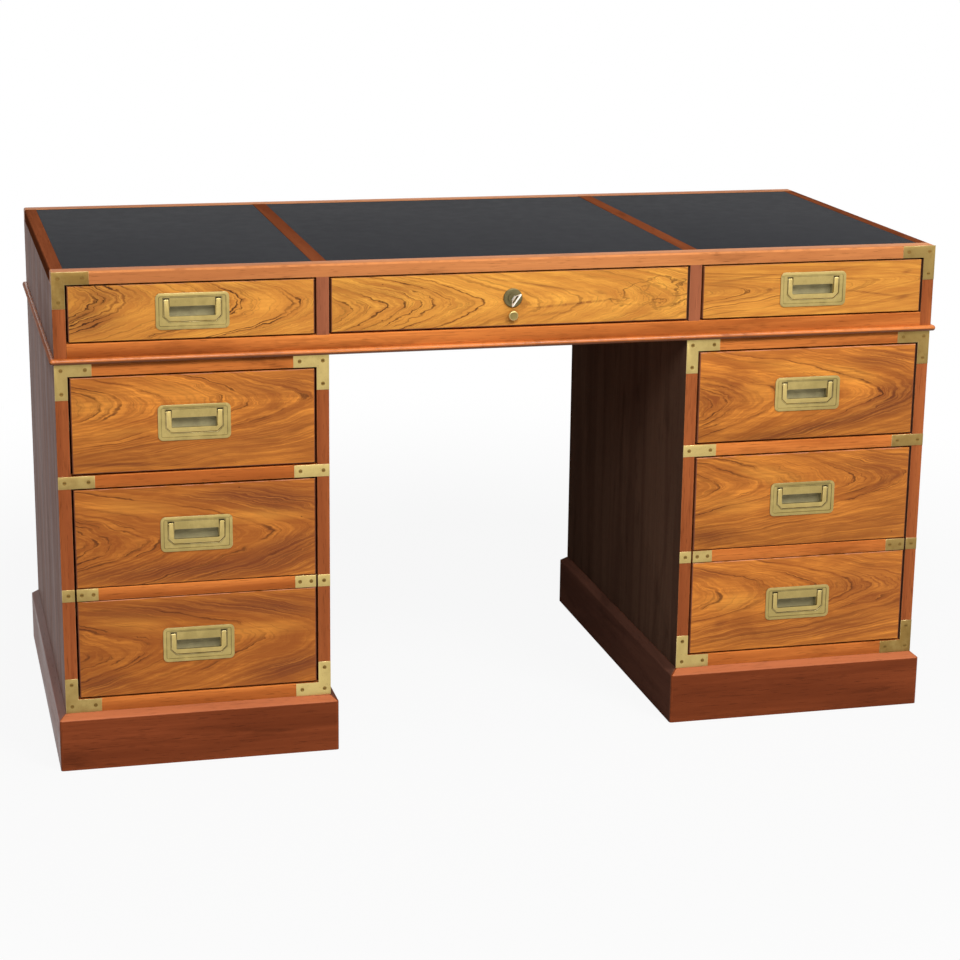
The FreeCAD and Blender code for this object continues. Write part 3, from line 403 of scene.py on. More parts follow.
# Nodes
class Bench:
    """Lays nodes in one tree. An input is a plain value or another node's output."""

    def __init__(self, tree):
        self.tree = tree

    def feed(self, socket, value):
        if isinstance(value, bpy.types.NodeSocket):
            self.tree.links.new(value, socket)
        else:
            socket.default_value = value

    def fill(self, node, **inputs):
        for name, value in inputs.items():
            self.feed(node.inputs[name.replace("_", " ")], value)
        return node.outputs

    def add(self, kind, settings=None, **inputs):
        node = self.tree.nodes.new(kind)
        for name, value in (settings or {}).items():
            setattr(node, name, value)
        return self.fill(node, **inputs)

    def group(self, name, **inputs):
        return self.add("ShaderNodeGroup", {"node_tree": bpy.data.node_groups[name]}, **inputs)

    def operate(self, kind, operation, values):
        node = self.tree.nodes.new(kind)
        node.operation = operation
        for socket, value in zip(node.inputs, values):
            self.feed(socket, value)
        return node.outputs

    def math(self, operation, *values):
        return self.operate("ShaderNodeMath", operation, values)[0]

    def vector(self, operation, *values):
        outputs = self.operate("ShaderNodeVectorMath", operation, values)
        return outputs["Value" if operation == "LENGTH" else "Vector"]

    times = partialmethod(math, "MULTIPLY")
    plus = partialmethod(math, "ADD")
    minus = partialmethod(math, "SUBTRACT")
    over = partialmethod(math, "DIVIDE")
    larger = partialmethod(math, "MAXIMUM")

    def gap(self, first, second):
        return self.math("ABSOLUTE", self.minus(first, second))

    def join(self, x, y, z=0.0):
        return self.add("ShaderNodeCombineXYZ", X=x, Y=y, Z=z)[0]

    def split(self, vector):
        return self.add("ShaderNodeSeparateXYZ", Vector=vector)

    def attribute(self, name):
        return self.add("ShaderNodeAttribute", {"attribute_name": name})["Fac"]

    def blend(self, factor, first, second):
        node = self.tree.nodes.new("ShaderNodeMix")
        node.data_type = "RGBA"
        for place, value in ((0, factor), (6, first), (7, second)):
            self.feed(node.inputs[place], value)
        return node.outputs[2]

    def tint(self, base, mask, strength, paint):
        return self.blend(self.times(mask, strength), base, (*paint, 1.0))

    def noise(self, name, vector):
        factors, detail, roughness, distortion = NOISES[name][:4]
        return self.add("ShaderNodeTexNoise", Vector=self.vector("MULTIPLY", vector, factors), Scale=1.0,
                        Detail=detail, Roughness=roughness, Distortion=distortion)

    def noise_along(self, value, detail, roughness):
        return self.add("ShaderNodeTexNoise", {"noise_dimensions": "1D"}, W=value, Scale=1.0, Detail=detail,
                        Roughness=roughness)[0]

    def rise(self, value, low, high, first=0.0, last=1.0):
        return self.add("ShaderNodeMapRange", {"interpolation_type": "SMOOTHSTEP"}, Value=value, From_Min=low,
                        From_Max=high, To_Min=first, To_Max=last)[0]

    def mask(self, name, vector, first=0.0, last=1.0):
        return self.rise(self.noise(name, vector)[0], *NOISES[name][4:], first, last)

    def bump(self, height, distance):
        return self.add("ShaderNodeBump", Strength=1.0, Distance=distance, Height=height)[0]


def shader_group(name, numbers, results):
    """A new node group that takes a vector and numbers: its bench, its inputs and its last node."""
    tree = bpy.data.node_groups.new(name, "ShaderNodeTree")
    sockets = [("Vector", "INPUT", "NodeSocketVector")]
    sockets += [(label, "INPUT", "NodeSocketFloat") for label in numbers]
    sockets += [(label, "OUTPUT", "NodeSocketFloat") for label in results]
    for label, way, kind in sockets:
        tree.interface.new_socket(name=label, in_out=way, socket_type=kind)
    start = tree.nodes.new("NodeGroupInput")
    return Bench(tree), start.outputs, tree.nodes.new("NodeGroupOutput")


def make_straight_grain():
    """Plain wood whose grain runs along X: tone, fibres, pores and darker places."""
    results = ("Tone", "Fibre", "Pores", "Stains")
    bench, given, end = shader_group("straight grain", (), results)
    bench.fill(end, **{name: bench.mask(name.lower(), given["Vector"]) for name in results})


def make_veneer_figure():
    """Flame figure: a phase whose lines run out in points along X, and the tones that follow it."""
    results = ("Phase", "Bands", "Lines", "Hairs", "Streaks", "Fade", "Jag", "Specks", "Clouds")
    bench, given, end = shader_group("veneer figure", FIGURE_NUMBERS, results)
    times, plus, minus = bench.times, bench.plus, bench.minus
    _, tip, reach, lean, spread, spacing, wave, crinkle, seed = given[:len(FIGURE_NUMBERS) + 1]
    place = bench.vector("ADD", given["Vector"], bench.join(seed, seed, seed))
    across, _, up = bench.split(given["Vector"])
    unrest = bench.split(bench.noise("unrest", place)[1])
    jag = minus(bench.noise("jag", place)[0], 0.5)
    wave_z = times(minus(unrest[2], 0.5), wave)
    wave_x = times(minus(unrest[0], 0.5), times(wave, 2.0))
    off = plus(minus(up, plus(tip, times(lean, across))), wave_z)
    squares = plus(times(off, off), times(spread, spread))
    blunt = minus(bench.math("SQRT", squares), spread)
    drawn_out = times(blunt, plus(times(blunt, FLATTENING), 1.0))
    phase = plus(plus(across, wave_x), times(reach, drawn_out))
    curl = times(minus(bench.noise("curl", place)[0], 0.5), wave)
    phase = plus(phase, plus(times(jag, crinkle), curl))
    turns = plus(bench.over(phase, spacing), seed)
    lines = bench.gap(bench.noise_along(turns, 1.5, 0.6), 0.5)
    broad = bench.noise_along(times(turns, 0.8), 2.0, 0.55)
    cells = bench.add("ShaderNodeTexVoronoi", Vector=bench.vector("MULTIPLY", place, (1.0, 1.0, 1.6)),
                      Scale=30.0)
    some = bench.math("GREATER_THAN", bench.split(cells[1])[0], 0.72)
    bench.fill(end, Phase=phase, Bands=bench.rise(broad, 0.33, 0.67), Lines=bench.rise(lines, 0.030, 0.0),
               Hairs=bench.mask("hairs", bench.join(phase, off, seed)), Streaks=bench.mask("streaks", place),
               Fade=bench.mask("fade", place), Jag=jag, Clouds=bench.mask("clouds", place),
               Specks=times(bench.rise(cells[0], 0.055, 0.025), some))


def make_brass_age():
    """Blotches, specks and fine scratches of aged brass."""
    bench, given, end = shader_group("brass age", (), ("Patina", "Specks", "Scratches"))
    place = given["Vector"]
    patina = bench.plus(bench.times(bench.noise("fine patina", place)[0], 0.45),
                        bench.times(bench.noise("broad patina", place)[0], 0.55))
    bench.fill(end, Patina=bench.rise(patina, 0.38, 0.62), Specks=bench.mask("specks", place),
               Scratches=bench.noise("scratches", place)[0])


def make_edge_wear_and_highlight():
    """Rubbed edges: the rounded faces, broken up by noise. On the drawer fronts this mask also carries a
    painted highlight along the upper edges.
    """
    bench, given, end = shader_group("edge wear", (), ("Mask",))
    bench.fill(end, Mask=bench.times(bench.attribute(WORN), bench.mask("broken wear", given["Vector"])))


# Materials
def new_material(name):
    """A material, its bench, its shader and the piece's own coordinates."""
    material = bpy.data.materials.new(name)
    material.use_nodes = True
    bench = Bench(material.node_tree)
    shader = material.node_tree.nodes["Principled BSDF"]
    return material, bench, shader, bench.add("ShaderNodeTexCoord")["Object"]


def wood(finish, along):
    """Plain polished wood, one of WOODS, with its grain along one axis."""
    name = finish + " along " + along
    known = bpy.data.materials.get(name)
    if known:
        return known
    paints, sheen, wear, gloss = WOODS[finish]
    light = Vector(getattr(colours(), paints + "_light"))
    dark = Vector(getattr(colours(), paints + "_dark"))
    rubbed = [min(1.0, part) for part in light * WOOD_RUBBED]
    material, bench, shader, place = new_material(name)
    turned = bench.add("ShaderNodeMapping", Vector=place, Rotation=GRAIN_TURNS[along])[0]
    grain = bench.group("straight grain", Vector=turned)
    base = bench.blend(grain["Tone"], (*dark, 1.0), (*light, 1.0))
    for mask, (strength, share) in WOOD_LAYERS.items():
        base = bench.tint(base, grain[mask], strength, dark * share)
    base = bench.tint(base, bench.group("edge wear", Vector=place)[0], wear, rubbed)
    # painted shade on the marked faces: the underside of the bead
    base = bench.tint(base, bench.attribute(DIRT_AND_SHADE), PAINTED_SHADE, dark * WOOD_SHADE_SHARE)
    polish = bench.mask("wood polish", turned, sheen - 0.04, sheen + 0.06)
    rough = bench.plus(polish, bench.times(grain["Pores"], 0.12))
    height = bench.plus(bench.times(grain["Fibre"], 0.4), bench.times(grain["Pores"], -1.0))
    bench.fill(shader, Base_Color=base, Roughness=rough, Normal=bench.bump(height, WOOD_RELIEF),
               Specular_IOR_Level=gloss)
    return material


def dark_lines(bench, phase, marks, width, hairs):
    """A mask of the lines whose points lie at the marks, frayed by the hairs."""
    mask = 0.0
    fray = bench.times(bench.minus(0.5, hairs), width * FRAY)
    for mark in marks:
        frayed = bench.plus(bench.gap(phase, mark), fray)
        mask = bench.larger(mask, bench.rise(frayed, width, 0.0))
    return mask


def oval(bench, place, x, z, half_width, half_height, slope=0.0):
    """Distance from the middle of an oval, 1 on its edge."""
    parts = bench.split(place)
    along = bench.minus(parts[0], x)
    up = bench.minus(bench.minus(parts[2], z), bench.times(along, slope))
    return bench.vector("LENGTH", bench.join(bench.over(along, half_width), bench.over(up, half_height)))


def veneer(panel, middle, light, dark):
    """Figured veneer for one panel, from its row of FIGURES."""
    figure = FIGURES[panel]
    paint = colours()
    material, bench, shader, place = new_material("veneer " + panel)
    times = bench.times
    centred = bench.add("ShaderNodeMapping", Vector=place, Location=-middle)[0]
    numbers = {name: figure[name.lower()] for name in FIGURE_NUMBERS}
    figured = bench.group("veneer figure", Vector=centred, **numbers)
    phase, bands, lines, hairs, streaks, fade, jag, specks, clouds = figured
    base = (*Vector(light).lerp(Vector(dark), figure["shade"]), 1.0)
    base = bench.tint(base, clouds, 0.45, dark)
    base = bench.tint(base, bands, figure["bands"], dark)
    hairy = bench.rise(hairs, 0.0, 0.9, 0.40, 1.0)
    for places, shade in (("glows", paint.veneer_glow), ("patches", paint.veneer_shadow)):
        for *spot, strength in figure[places]:
            soft = bench.rise(oval(bench, centred, *spot), 1.3, 0.1)
            base = bench.tint(base, times(soft, hairy), strength, shade)
    base = bench.tint(base, hairs, 0.42, dark)
    base = bench.tint(base, streaks, figure["streaks"], dark)
    halo = dark_lines(bench, phase, figure["marks"], figure["line"] * HALO_WIDTH, hairs)
    halo = times(halo, bench.rise(fade, 0.0, 1.0, 0.5 + figure["hold"], 1.0))
    base = bench.tint(base, halo, figure["halo"], dark)
    ink = dark_lines(bench, phase, figure["marks"], figure["line"], hairs)
    for knot in figure["knots"]:
        unrest = bench.plus(times(clouds, 0.7), times(jag, 0.7))
        away = bench.plus(oval(bench, centred, *knot), unrest)
        for size, strength in KNOT_RINGS:
            ink = bench.larger(ink, times(bench.rise(bench.gap(away, size), 0.10, 0.0), strength))
    ink = bench.larger(ink, times(lines, 0.40))
    ink = times(ink, bench.rise(fade, 0.0, 1.0, figure["hold"], 1.0))
    base = bench.tint(base, ink, figure["ink"], paint.veneer_lines)
    base = bench.tint(base, specks, 0.7, paint.veneer_lines)
    # painted highlight along the rounded upper edges of the front
    base = bench.tint(base, bench.group("edge wear", Vector=place)[0], 0.75, paint.veneer_rubbed)
    # painted shade on the lower edges and the sides of the front
    base = bench.tint(base, bench.attribute(DIRT_AND_SHADE), PAINTED_SHADE, paint.veneer_shadow)
    height = bench.plus(times(ink, -0.6), times(streaks, -0.4))
    bench.fill(shader, Base_Color=base, Roughness=bench.mask("veneer polish", centred, 0.27, 0.37),
               Normal=bench.bump(height, VENEER_RELIEF), Specular_IOR_Level=0.10)
    return material


def metal(finish):
    """Aged metal, one of METALS, with rubbed edges and darkened corners: dirt and painted shade."""
    known = bpy.data.materials.get(finish)
    if known:
        return known
    clean_name, clean_strength, aged_name, aged_strength, roughness, metallic, placed_sheen = METALS[finish]
    paint = colours()
    clean = Vector(getattr(paint, clean_name)) * clean_strength
    aged = Vector(getattr(paint, aged_name)) * aged_strength
    material, bench, shader, place = new_material(finish)
    patina, specks, scratches = bench.group("brass age", Vector=place)
    # painted reflection: clean, bright brass in the middle of the desk, tarnished towards its ends and at the
    # top
    if placed_sheen:
        across, _, up = bench.split(place)
        ends = bench.rise(bench.gap(across, PAINTED_SHEEN_MIDDLE), *PAINTED_SHEEN_SPAN)
        ends = bench.larger(ends, bench.rise(up, *PAINTED_SHEEN_TOP))
        patina = bench.plus(bench.times(patina, 1.0 - placed_sheen), bench.times(ends, placed_sheen))
    worn = bench.group("edge wear", Vector=place)[0]
    # darkened faces: dirt and painted shade along the steps of the pulls, and the upper sides of the bails
    grime_and_shade = bench.times(bench.attribute(DIRT_AND_SHADE), bench.rise(patina, 0.0, 1.0, 0.45, 0.85))
    base = bench.blend(patina, (*clean, 1.0), (*aged, 1.0))
    base = bench.tint(base, specks, 0.4, aged * 0.4)
    base = bench.blend(grime_and_shade, base, (*paint.brass_grime, 1.0))
    base = bench.tint(base, worn, EDGE_RUB, paint.brass_bright)
    rough = bench.plus(bench.times(patina, 0.08),
                       bench.rise(scratches, 0.3, 0.7, roughness - 0.05, roughness + 0.07))
    rough = bench.minus(rough, bench.times(worn, 0.10))
    height = bench.minus(bench.times(scratches, 0.5), specks)
    bench.fill(shader, Base_Color=base, Metallic=metallic, Roughness=rough,
               Normal=bench.bump(height, BRASS_RELIEF))
    return material


def black_leather():
    """Matt leather with a fine grain and rubbed patches."""
    paint = colours()
    material, bench, shader, place = new_material("black leather")
    mottle = bench.noise("mottle", place)[0]
    cells = bench.add("ShaderNodeTexVoronoi", {"feature": "DISTANCE_TO_EDGE"}, Vector=place, Scale=900.0)[0]
    rubbed = (*paint.leather_rubbed, 1.0)
    base = bench.blend(bench.mask("rubbed leather", place, 0.0, 0.4), (*paint.leather, 1.0), rubbed)
    base = bench.blend(bench.rise(mottle, 0.45, 0.70, 0.0, 0.10), base, rubbed)
    height = bench.plus(bench.rise(cells, 0.0, 0.25), bench.times(bench.noise("wrinkles", place)[0], 0.8))
    bench.fill(shader, Base_Color=base, Roughness=bench.rise(mottle, 0.3, 0.7, 0.61, 0.66),
               Normal=bench.bump(height, LEATHER_RELIEF), Specular_IOR_Level=0.035)
    return material


# Modelling
def make_active(piece):
    """Leaves only this piece selected and active."""
    bpy.ops.object.select_all(action="DESELECT")
    piece.select_set(True)
    bpy.context.view_layer.objects.active = piece


def copy_of(node, name):
    """A merged copy of a CAD node as a new piece."""
    piece = bpy.data.objects.new(name, frame["nodes"][node].data.copy())
    piece.data.name = name
    piece.data.materials.clear()
    bpy.context.scene.collection.objects.link(piece)
    make_active(piece)
    bpy.ops.mesh.customdata_custom_splitnormals_clear()
    bpy.ops.object.mode_set(mode="EDIT")
    bpy.ops.mesh.select_all(action="SELECT")
    bpy.ops.mesh.remove_doubles(threshold=MERGE)
    bpy.ops.mesh.dissolve_limited(angle_limit=FLAT)
    bpy.ops.object.mode_set(mode="OBJECT")
    return piece


def just_added(name):
    """Names the primitive that was just added, and puts its place and size into its mesh."""
    piece = bpy.context.object
    piece.name = name
    piece.data.name = name
    bpy.ops.object.transform_apply(location=True, rotation=True, scale=True)
    return piece


def board(name, low, high):
    """A plain board between two corners, ready to be shaped."""
    bpy.ops.object.select_all(action="DESELECT")
    bpy.ops.mesh.primitive_cube_add(size=1, location=(low + high) / 2, scale=high - low)
    return just_added(name)


def ring(name, low, high, width):
    """A flat frame of one width round a box, as high as the box."""
    bpy.ops.object.select_all(action="DESELECT")
    middle = (low + high) / 2
    bpy.ops.mesh.primitive_plane_add(size=1, location=(middle.x, middle.y, high.z))
    bpy.context.object.scale = (high.x - low.x, high.y - low.y, 1.0)
    piece = just_added(name)
    bpy.ops.object.mode_set(mode="EDIT")
    bpy.ops.mesh.select_all(action="SELECT")
    bpy.ops.mesh.inset(thickness=width)
    bpy.ops.mesh.delete(type="FACE")
    bpy.ops.object.mode_set(mode="OBJECT")
    wall = piece.modifiers.new("wall", "SOLIDIFY")
    wall.thickness = high.z - low.z
    wall.offset = -1.0
    bpy.ops.object.modifier_apply(modifier=wall.name)
    return piece


def cut_box(piece, low, high):
    """Cuts a box out of a piece."""
    cutter = board("cutter", low, high)
    make_active(piece)
    cut = piece.modifiers.new("cut", "BOOLEAN")
    cut.operation = "DIFFERENCE"
    cut.object = cutter
    bpy.ops.object.modifier_apply(modifier=cut.name)
    bpy.data.meshes.remove(cutter.data)


def pick(piece, kind, wanted):
    """Enters edit mode and selects only the points, edges or faces that wanted(item) picks."""
    make_active(piece)
    bpy.ops.object.mode_set(mode="EDIT")
    bpy.ops.mesh.select_mode(type=kind)
    bpy.ops.mesh.select_all(action="DESELECT")
    mesh = bmesh.from_edit_mesh(piece.data)
    for item in {"VERT": mesh.verts, "EDGE": mesh.edges, "FACE": mesh.faces}[kind]:
        if wanted(item):
            item.select_set(True)
    bmesh.update_edit_mesh(piece.data)


def mark(piece, label, value, wanted):
    """In edit mode, gives the faces that wanted(face) picks a value of a face attribute."""
    mesh = bmesh.from_edit_mesh(piece.data)
    layers = mesh.faces.layers.float
    layer = layers.get(label) or layers.new(label)
    for face in mesh.faces:
        if wanted(face):
            face[layer] = value
    bmesh.update_edit_mesh(piece.data)


def round_edges(piece, width, steps, wanted, wear=1.0):
    """Rounds the sharp outer edges that wanted(edge) picks, and marks how worn the new faces are."""
    piece.data.materials.clear()
    for _ in range(2):
        piece.data.materials.append(None)

    def sharp(edge):
        outer = len(edge.link_faces) == 2 and edge.is_convex
        return outer and edge.calc_face_angle() > SHARP and wanted(edge)

    pick(piece, "EDGE", sharp)
    bpy.ops.mesh.bevel(offset=width, segments=steps, clamp_overlap=False, material=1)
    mark(piece, WORN, wear, lambda face: face.material_index == 1)
    bpy.ops.object.mode_set(mode="OBJECT")
    piece.data.materials.clear()
    bpy.ops.object.shade_smooth_by_angle(angle=SMOOTH)


def rounded_copy(node, name, width, steps, wanted):
    """A copy of a CAD node with rounded edges."""
    piece = copy_of(node, name)
    round_edges(piece, width, steps, wanted)
    return piece


def strip_along_steps(piece, width, wanted):
    """Cuts a narrow strip round the faces that wanted(face) picks, and marks it to be darkened."""
    pick(piece, "FACE", wanted)
    mark(piece, DIRT_AND_SHADE, 1.0, lambda face: face.select)
    bpy.ops.mesh.inset(thickness=width)
    mark(piece, DIRT_AND_SHADE, 0.0, lambda face: face.select)
    bpy.ops.object.mode_set(mode="OBJECT")


def lift_points(piece, height, lift):
    """Lifts the points that lie at one height."""
    pick(piece, "VERT", lambda vertex: same(vertex.co.z, height))
    bpy.ops.transform.translate(value=(0.0, 0.0, lift))
    bpy.ops.object.mode_set(mode="OBJECT")


def mark_dirt_and_shade(piece, wanted):
    """Marks the faces that wanted(face) picks to be darkened."""
    dirty = piece.data.attributes.new(DIRT_AND_SHADE, "FLOAT", "FACE")
    for face in piece.data.polygons:
        dirty.data[face.index].value = float(wanted(face))


def middle_of(edge):
    """The middle of an edge."""
    return (edge.verts[0].co + edge.verts[1].co) / 2


def same(first, second):
    """Whether two places along an axis are the same."""
    return abs(first - second) < NEAR


def on_sides(at, low, high):
    """Whether a place lies on the left or right of a box, and whether on its front or back."""
    return (same(at.x, low.x) or same(at.x, high.x), same(at.y, low.y) or same(at.y, high.y))


def longer(shortest, back=None):
    """Picks edges longer than the shortest, and in front of a place along Y if one is given."""
    return lambda edge: edge.calc_length() > shortest and (back is None or middle_of(edge).y < back)


def paint_faces(mesh, choose):
    """Gives each face the material whose number choose(face) returns."""
    for face in mesh.polygons:
        face.material_index = int(choose(face))


def dress(piece, node, materials):
    """Gives a piece its materials and puts it in the place of a CAD node, on the node's body."""
    for material in materials:
        piece.data.materials.append(material)
    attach(piece, frame["nodes"][node]["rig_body"])
    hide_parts(node)


def paint_node(node, *materials):
    """Gives a CAD node that stays in view better materials, the second on faces to the front and back."""
    mesh = frame["nodes"][node].data
    mesh.materials.clear()
    for material in materials:
        mesh.materials.append(material)
    paint_faces(mesh, lambda face: len(materials) > 1 and abs(face.normal.y) > CROSSWISE)


def grain_by_side(piece):
    """Second material on the faces that look out to the left or right, third on those that look inwards."""
    def side(face):
        sideways = abs(face.normal.x) > abs(face.normal.y) and abs(face.normal.x) > SIDEWAYS
        inwards = face.normal.x * face.center.x < 0
        return sideways * (1 + inwards)

    paint_faces(piece.data, side)


class DESK_OT_stage(bpy.types.Operator):
    """Set up the floor, the light and the camera"""

    bl_idname = "desk.stage"
    bl_label = "Stage"

    def execute(self, context):
        stage = context.scene.desk_stage
        context.scene.view_settings.view_transform = "Standard"
        self.floor()
        self.room(context, stage)
        for name, (place, size) in LAMPS.items():
            self.lamp(name, place, size, getattr(stage, name + "_power"))
        self.camera(context, stage)
        return {"FINISHED"}

    def seen_directly(self, bench):
        path = bench.add("ShaderNodeLightPath")
        seen = bench.larger(path["Is Camera Ray"], path["Is Glossy Ray"])
        return bench.larger(seen, path["Is Transmission Ray"])

    def floor(self):
        bpy.ops.object.select_all(action="DESELECT")
        bpy.ops.mesh.primitive_plane_add(size=FLOOR_SIZE)
        floor = bpy.context.object
        floor.name = "floor"
        material, bench, shader, place = new_material("pale floor")
        cloud = bench.noise("floor", place)[0]
        bench.fill(shader, Base_Color=bench.blend(cloud, (0.42, 0.42, 0.42, 1), (0.46, 0.46, 0.46, 1)),
                   Roughness=0.9, Specular_IOR_Level=0.0)
        glow = bench.add("ShaderNodeEmission", Color=WHITE, Strength=1.0)[0]
        white = bench.rise(bench.vector("LENGTH", place), 0.9, 2.2, 0.92, 1.0)
        mix = bench.add("ShaderNodeMixShader", Fac=bench.times(self.seen_directly(bench), white))[0]
        bench.feed(mix.node.inputs[1], shader.outputs[0])
        bench.feed(mix.node.inputs[2], glow)
        bench.fill(material.node_tree.nodes["Material Output"], Surface=mix)
        floor.data.materials.append(material)

    def room(self, context, stage):
        world = bpy.data.worlds.new("studio")
        world.use_nodes = True
        context.scene.world = world
        bench = Bench(world.node_tree)
        strength = bench.add("ShaderNodeMapRange", Value=self.seen_directly(bench), To_Min=stage.room_light,
                             To_Max=1.0)[0]
        bench.fill(world.node_tree.nodes["Background"], Color=WHITE, Strength=strength)

    def lamp(self, name, place, size, watts):
        bpy.ops.object.select_all(action="DESELECT")
        bpy.ops.object.light_add(type="AREA", location=place)
        lamp = bpy.context.object
        lamp.name = name
        lamp.data.size = size
        lamp.data.energy = watts
        lamp.rotation_euler = (LAMP_AIM - Vector(place)).to_track_quat("-Z", "Y").to_euler()

    def camera(self, context, stage):
        bpy.ops.object.camera_add()
        camera = bpy.context.object
        camera.name = "camera"
        camera.data.sensor_width = 36.0
        camera.data.lens = stage.camera_lens
        turn = Matrix.Rotation(-stage.camera_turn, 4, "Z")
        tilt = Matrix.Rotation(pi / 2 - stage.camera_tilt, 4, "X")
        roll = Matrix.Rotation(stage.camera_roll, 4, "Z")
        camera.matrix_world = Matrix.Translation(stage.camera_place) @ turn @ tilt @ roll
        context.scene.camera = camera


class DESK_OT_writing_top(bpy.types.Operator):
    """Make the wooden borders, the cross bars and the leather panels"""

    bl_idname = "desk.writing_top"
    bl_label = "Writing top"

    def execute(self, context):
        size = sizes()
        low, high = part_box("top_lipping")
        inner_low, inner_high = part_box("leather_panels")
        side_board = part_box("case_bottom")[0].x - low.x
        bar_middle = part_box("case_dividers")[1].x - side_board / 2
        bar = (bar_middle - size.cross_bar / 2, bar_middle + size.cross_bar / 2)
        inner = (inner_low.y, inner_high.y)
        strips = {
            "front": ((low.x, high.x), (low.y, inner_low.y), low.z, "long border", "x"),
            "back": ((low.x, high.x), (inner_high.y, high.y), low.z, "long border", "x"),
            "left": ((low.x, inner_low.x), inner, low.z, "cross bar", "y"),
            "right": ((inner_high.x, high.x), inner, low.z, "cross bar", "y"),
            "bar_left": ((-bar[1], -bar[0]), inner, inner_low.z, "cross bar", "y"),
            "bar_right": (bar, inner, inner_low.z, "cross bar", "y"),
        }

        def outer(edge):
            at = middle_of(edge)
            sides = on_sides(at, low, high)
            return all(sides) or (any(sides) and same(at.z, high.z))

        for name, (across, deep, bottom, finish, along) in strips.items():
            piece = board("top_border_" + name, Vector((across[0], deep[0], bottom)),
                          Vector((across[1], deep[1], high.z)))
            if name == "front":
                cut_box(piece, *self.cam_slot(low.z))
            round_edges(piece, size.top_rounding, 4, outer)
            round_edges(piece, size.wood_arris / 2, 2, lambda edge: same(middle_of(edge).z, high.z))
            dress(piece, "top_lipping", [wood(finish, along)])
        leather = black_leather()
        panels = {
            "left": (inner_low.x, -bar[1]),
            "centre": (-bar[0], bar[0]),
            "right": (bar[1], inner_high.x),
        }
        for name, (start, end) in panels.items():
            piece = board("leather_" + name, Vector((start, inner_low.y, inner_low.z)),
                          Vector((end, inner_high.y, inner_high.z)))
            round_edges(piece, size.leather_arris, 3, lambda edge: same(middle_of(edge).z, inner_high.z))
            dress(piece, "leather_panels", [leather])
        paint_node("top_core", wood("drawer wood", "x"))
        return {"FINISHED"}

    def cam_slot(self, underside):
        """Corners of the slot under the front border that the turned cam swings into."""
        size = sizes()
        case_low, case_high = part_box("lock_case")
        axis = (case_low + case_high) / 2
        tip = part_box("lock_plug")[1]
        reach = tip.x - axis.x
        swing = sqrt(reach ** 2 - (underside - axis.z) ** 2)
        low = Vector((axis.x - size.cam_width / 2, tip.y - size.cam_thickness, underside))
        high = Vector((axis.x + swing, tip.y, axis.z + reach))
        room = Vector((size.cam_room, size.cam_room, size.cam_room))
        return low - room, high + room


class DESK_OT_carcass(bpy.types.Operator):
    """Polish the boards of the case and the pedestals, and make the bead and the plinths"""

    bl_idname = "desk.carcass"
    bl_label = "Carcass"

    def execute(self, context):
        boards = {"case_sides": ("upright", "z"), "case_dividers": ("divider", "z"),
                  "case_bottom_rail": ("rail", "x"), "case_back": ("rail", "x")}
        for side in ("left", "right"):
            pedestal = "pedestal_" + side
            boards[pedestal + "_sides"] = ("upright", "z")
            boards[pedestal + "_back"] = ("upright", "z")
            boards[pedestal + "_rails"] = ("rail", "x")
            self.plinth(pedestal)
            paint_node(pedestal + "_decks", wood("drawer wood", "x"))
        for node, front in boards.items():
            piece = rounded_copy(node, node + "_polished", sizes().wood_arris, 2, longer(BOARD_EDGE))
            grain_by_side(piece)
            # the outer faces of the sides and the faces towards the kneehole get darker copies of the wood:
            # painted shade
            dress(piece, node, [wood(*front), wood("side panel", "z"), wood("kneehole", "z")])
        self.bead()
        paint_node("case_bottom", wood("rail", "x"))
        paint_node("drawer_runners", wood("drawer wood", "y"))
        paint_node("locating_dowels", wood("drawer wood", "z"))
        return {"FINISHED"}

    def bead(self):
        low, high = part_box("case_bead")
        side_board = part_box("case_bottom")[0].x - low.x
        piece = ring("case_bead_moulded", low, high, side_board)
        round_edges(piece, sizes().bead_rounding, 5, lambda edge: any(on_sides(middle_of(edge), low, high)))
        # painted shade on the underside of the bead
        mark_dirt_and_shade(piece, lambda face: face.normal.z < -UNDERSIDE)
        grain_by_side(piece)
        side = wood("side bead", "y")
        dress(piece, "case_bead", [wood("front bead", "x"), side, side])

    def plinth(self, pedestal):
        node = pedestal + "_plinth"
        low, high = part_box(node)
        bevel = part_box(pedestal + "_sides")[0].x - low.x
        piece = ring(node + "_bevelled", low, high, sizes().plinth_board)

        def upper(edge):
            at = middle_of(edge)
            return same(at.z, high.z) and any(on_sides(at, low, high))

        def upright(edge):
            ends = [vertex.co for vertex in edge.verts]
            at_corner = any(all(on_sides(end, low, high)) for end in ends)
            return abs(ends[0].z - ends[1].z) > bevel / 2 and at_corner

        def across(edge):
            at = middle_of(edge)
            return any(on_sides(at, low, high)) and at.z > high.z - 2 * bevel

        round_edges(piece, bevel, 1, upper, 0.0)
        lift_points(piece, high.z - bevel, bevel - sizes().plinth_bevel)
        round_edges(piece, sizes().plinth_corner, 3, upright, 0.3)
        round_edges(piece, sizes().wood_arris * 1.5, 2, across, 0.4)
        grain_by_side(piece)
        # the bevel on the front and back gets the lighter wood, a painted highlight; the inner sides get the
        # shaded plinth wood, painted shade
        for face in piece.data.polygons:
            if BEVEL[0] < face.normal.z < BEVEL[1] and abs(face.normal.y) > abs(face.normal.x):
                face.material_index = 3
        finishes = (("plinth", "x"), ("plinth", "y"), ("shaded plinth", "y"), ("rubbed plinth", "x"))
        dress(piece, node, [wood(*finish) for finish in finishes])


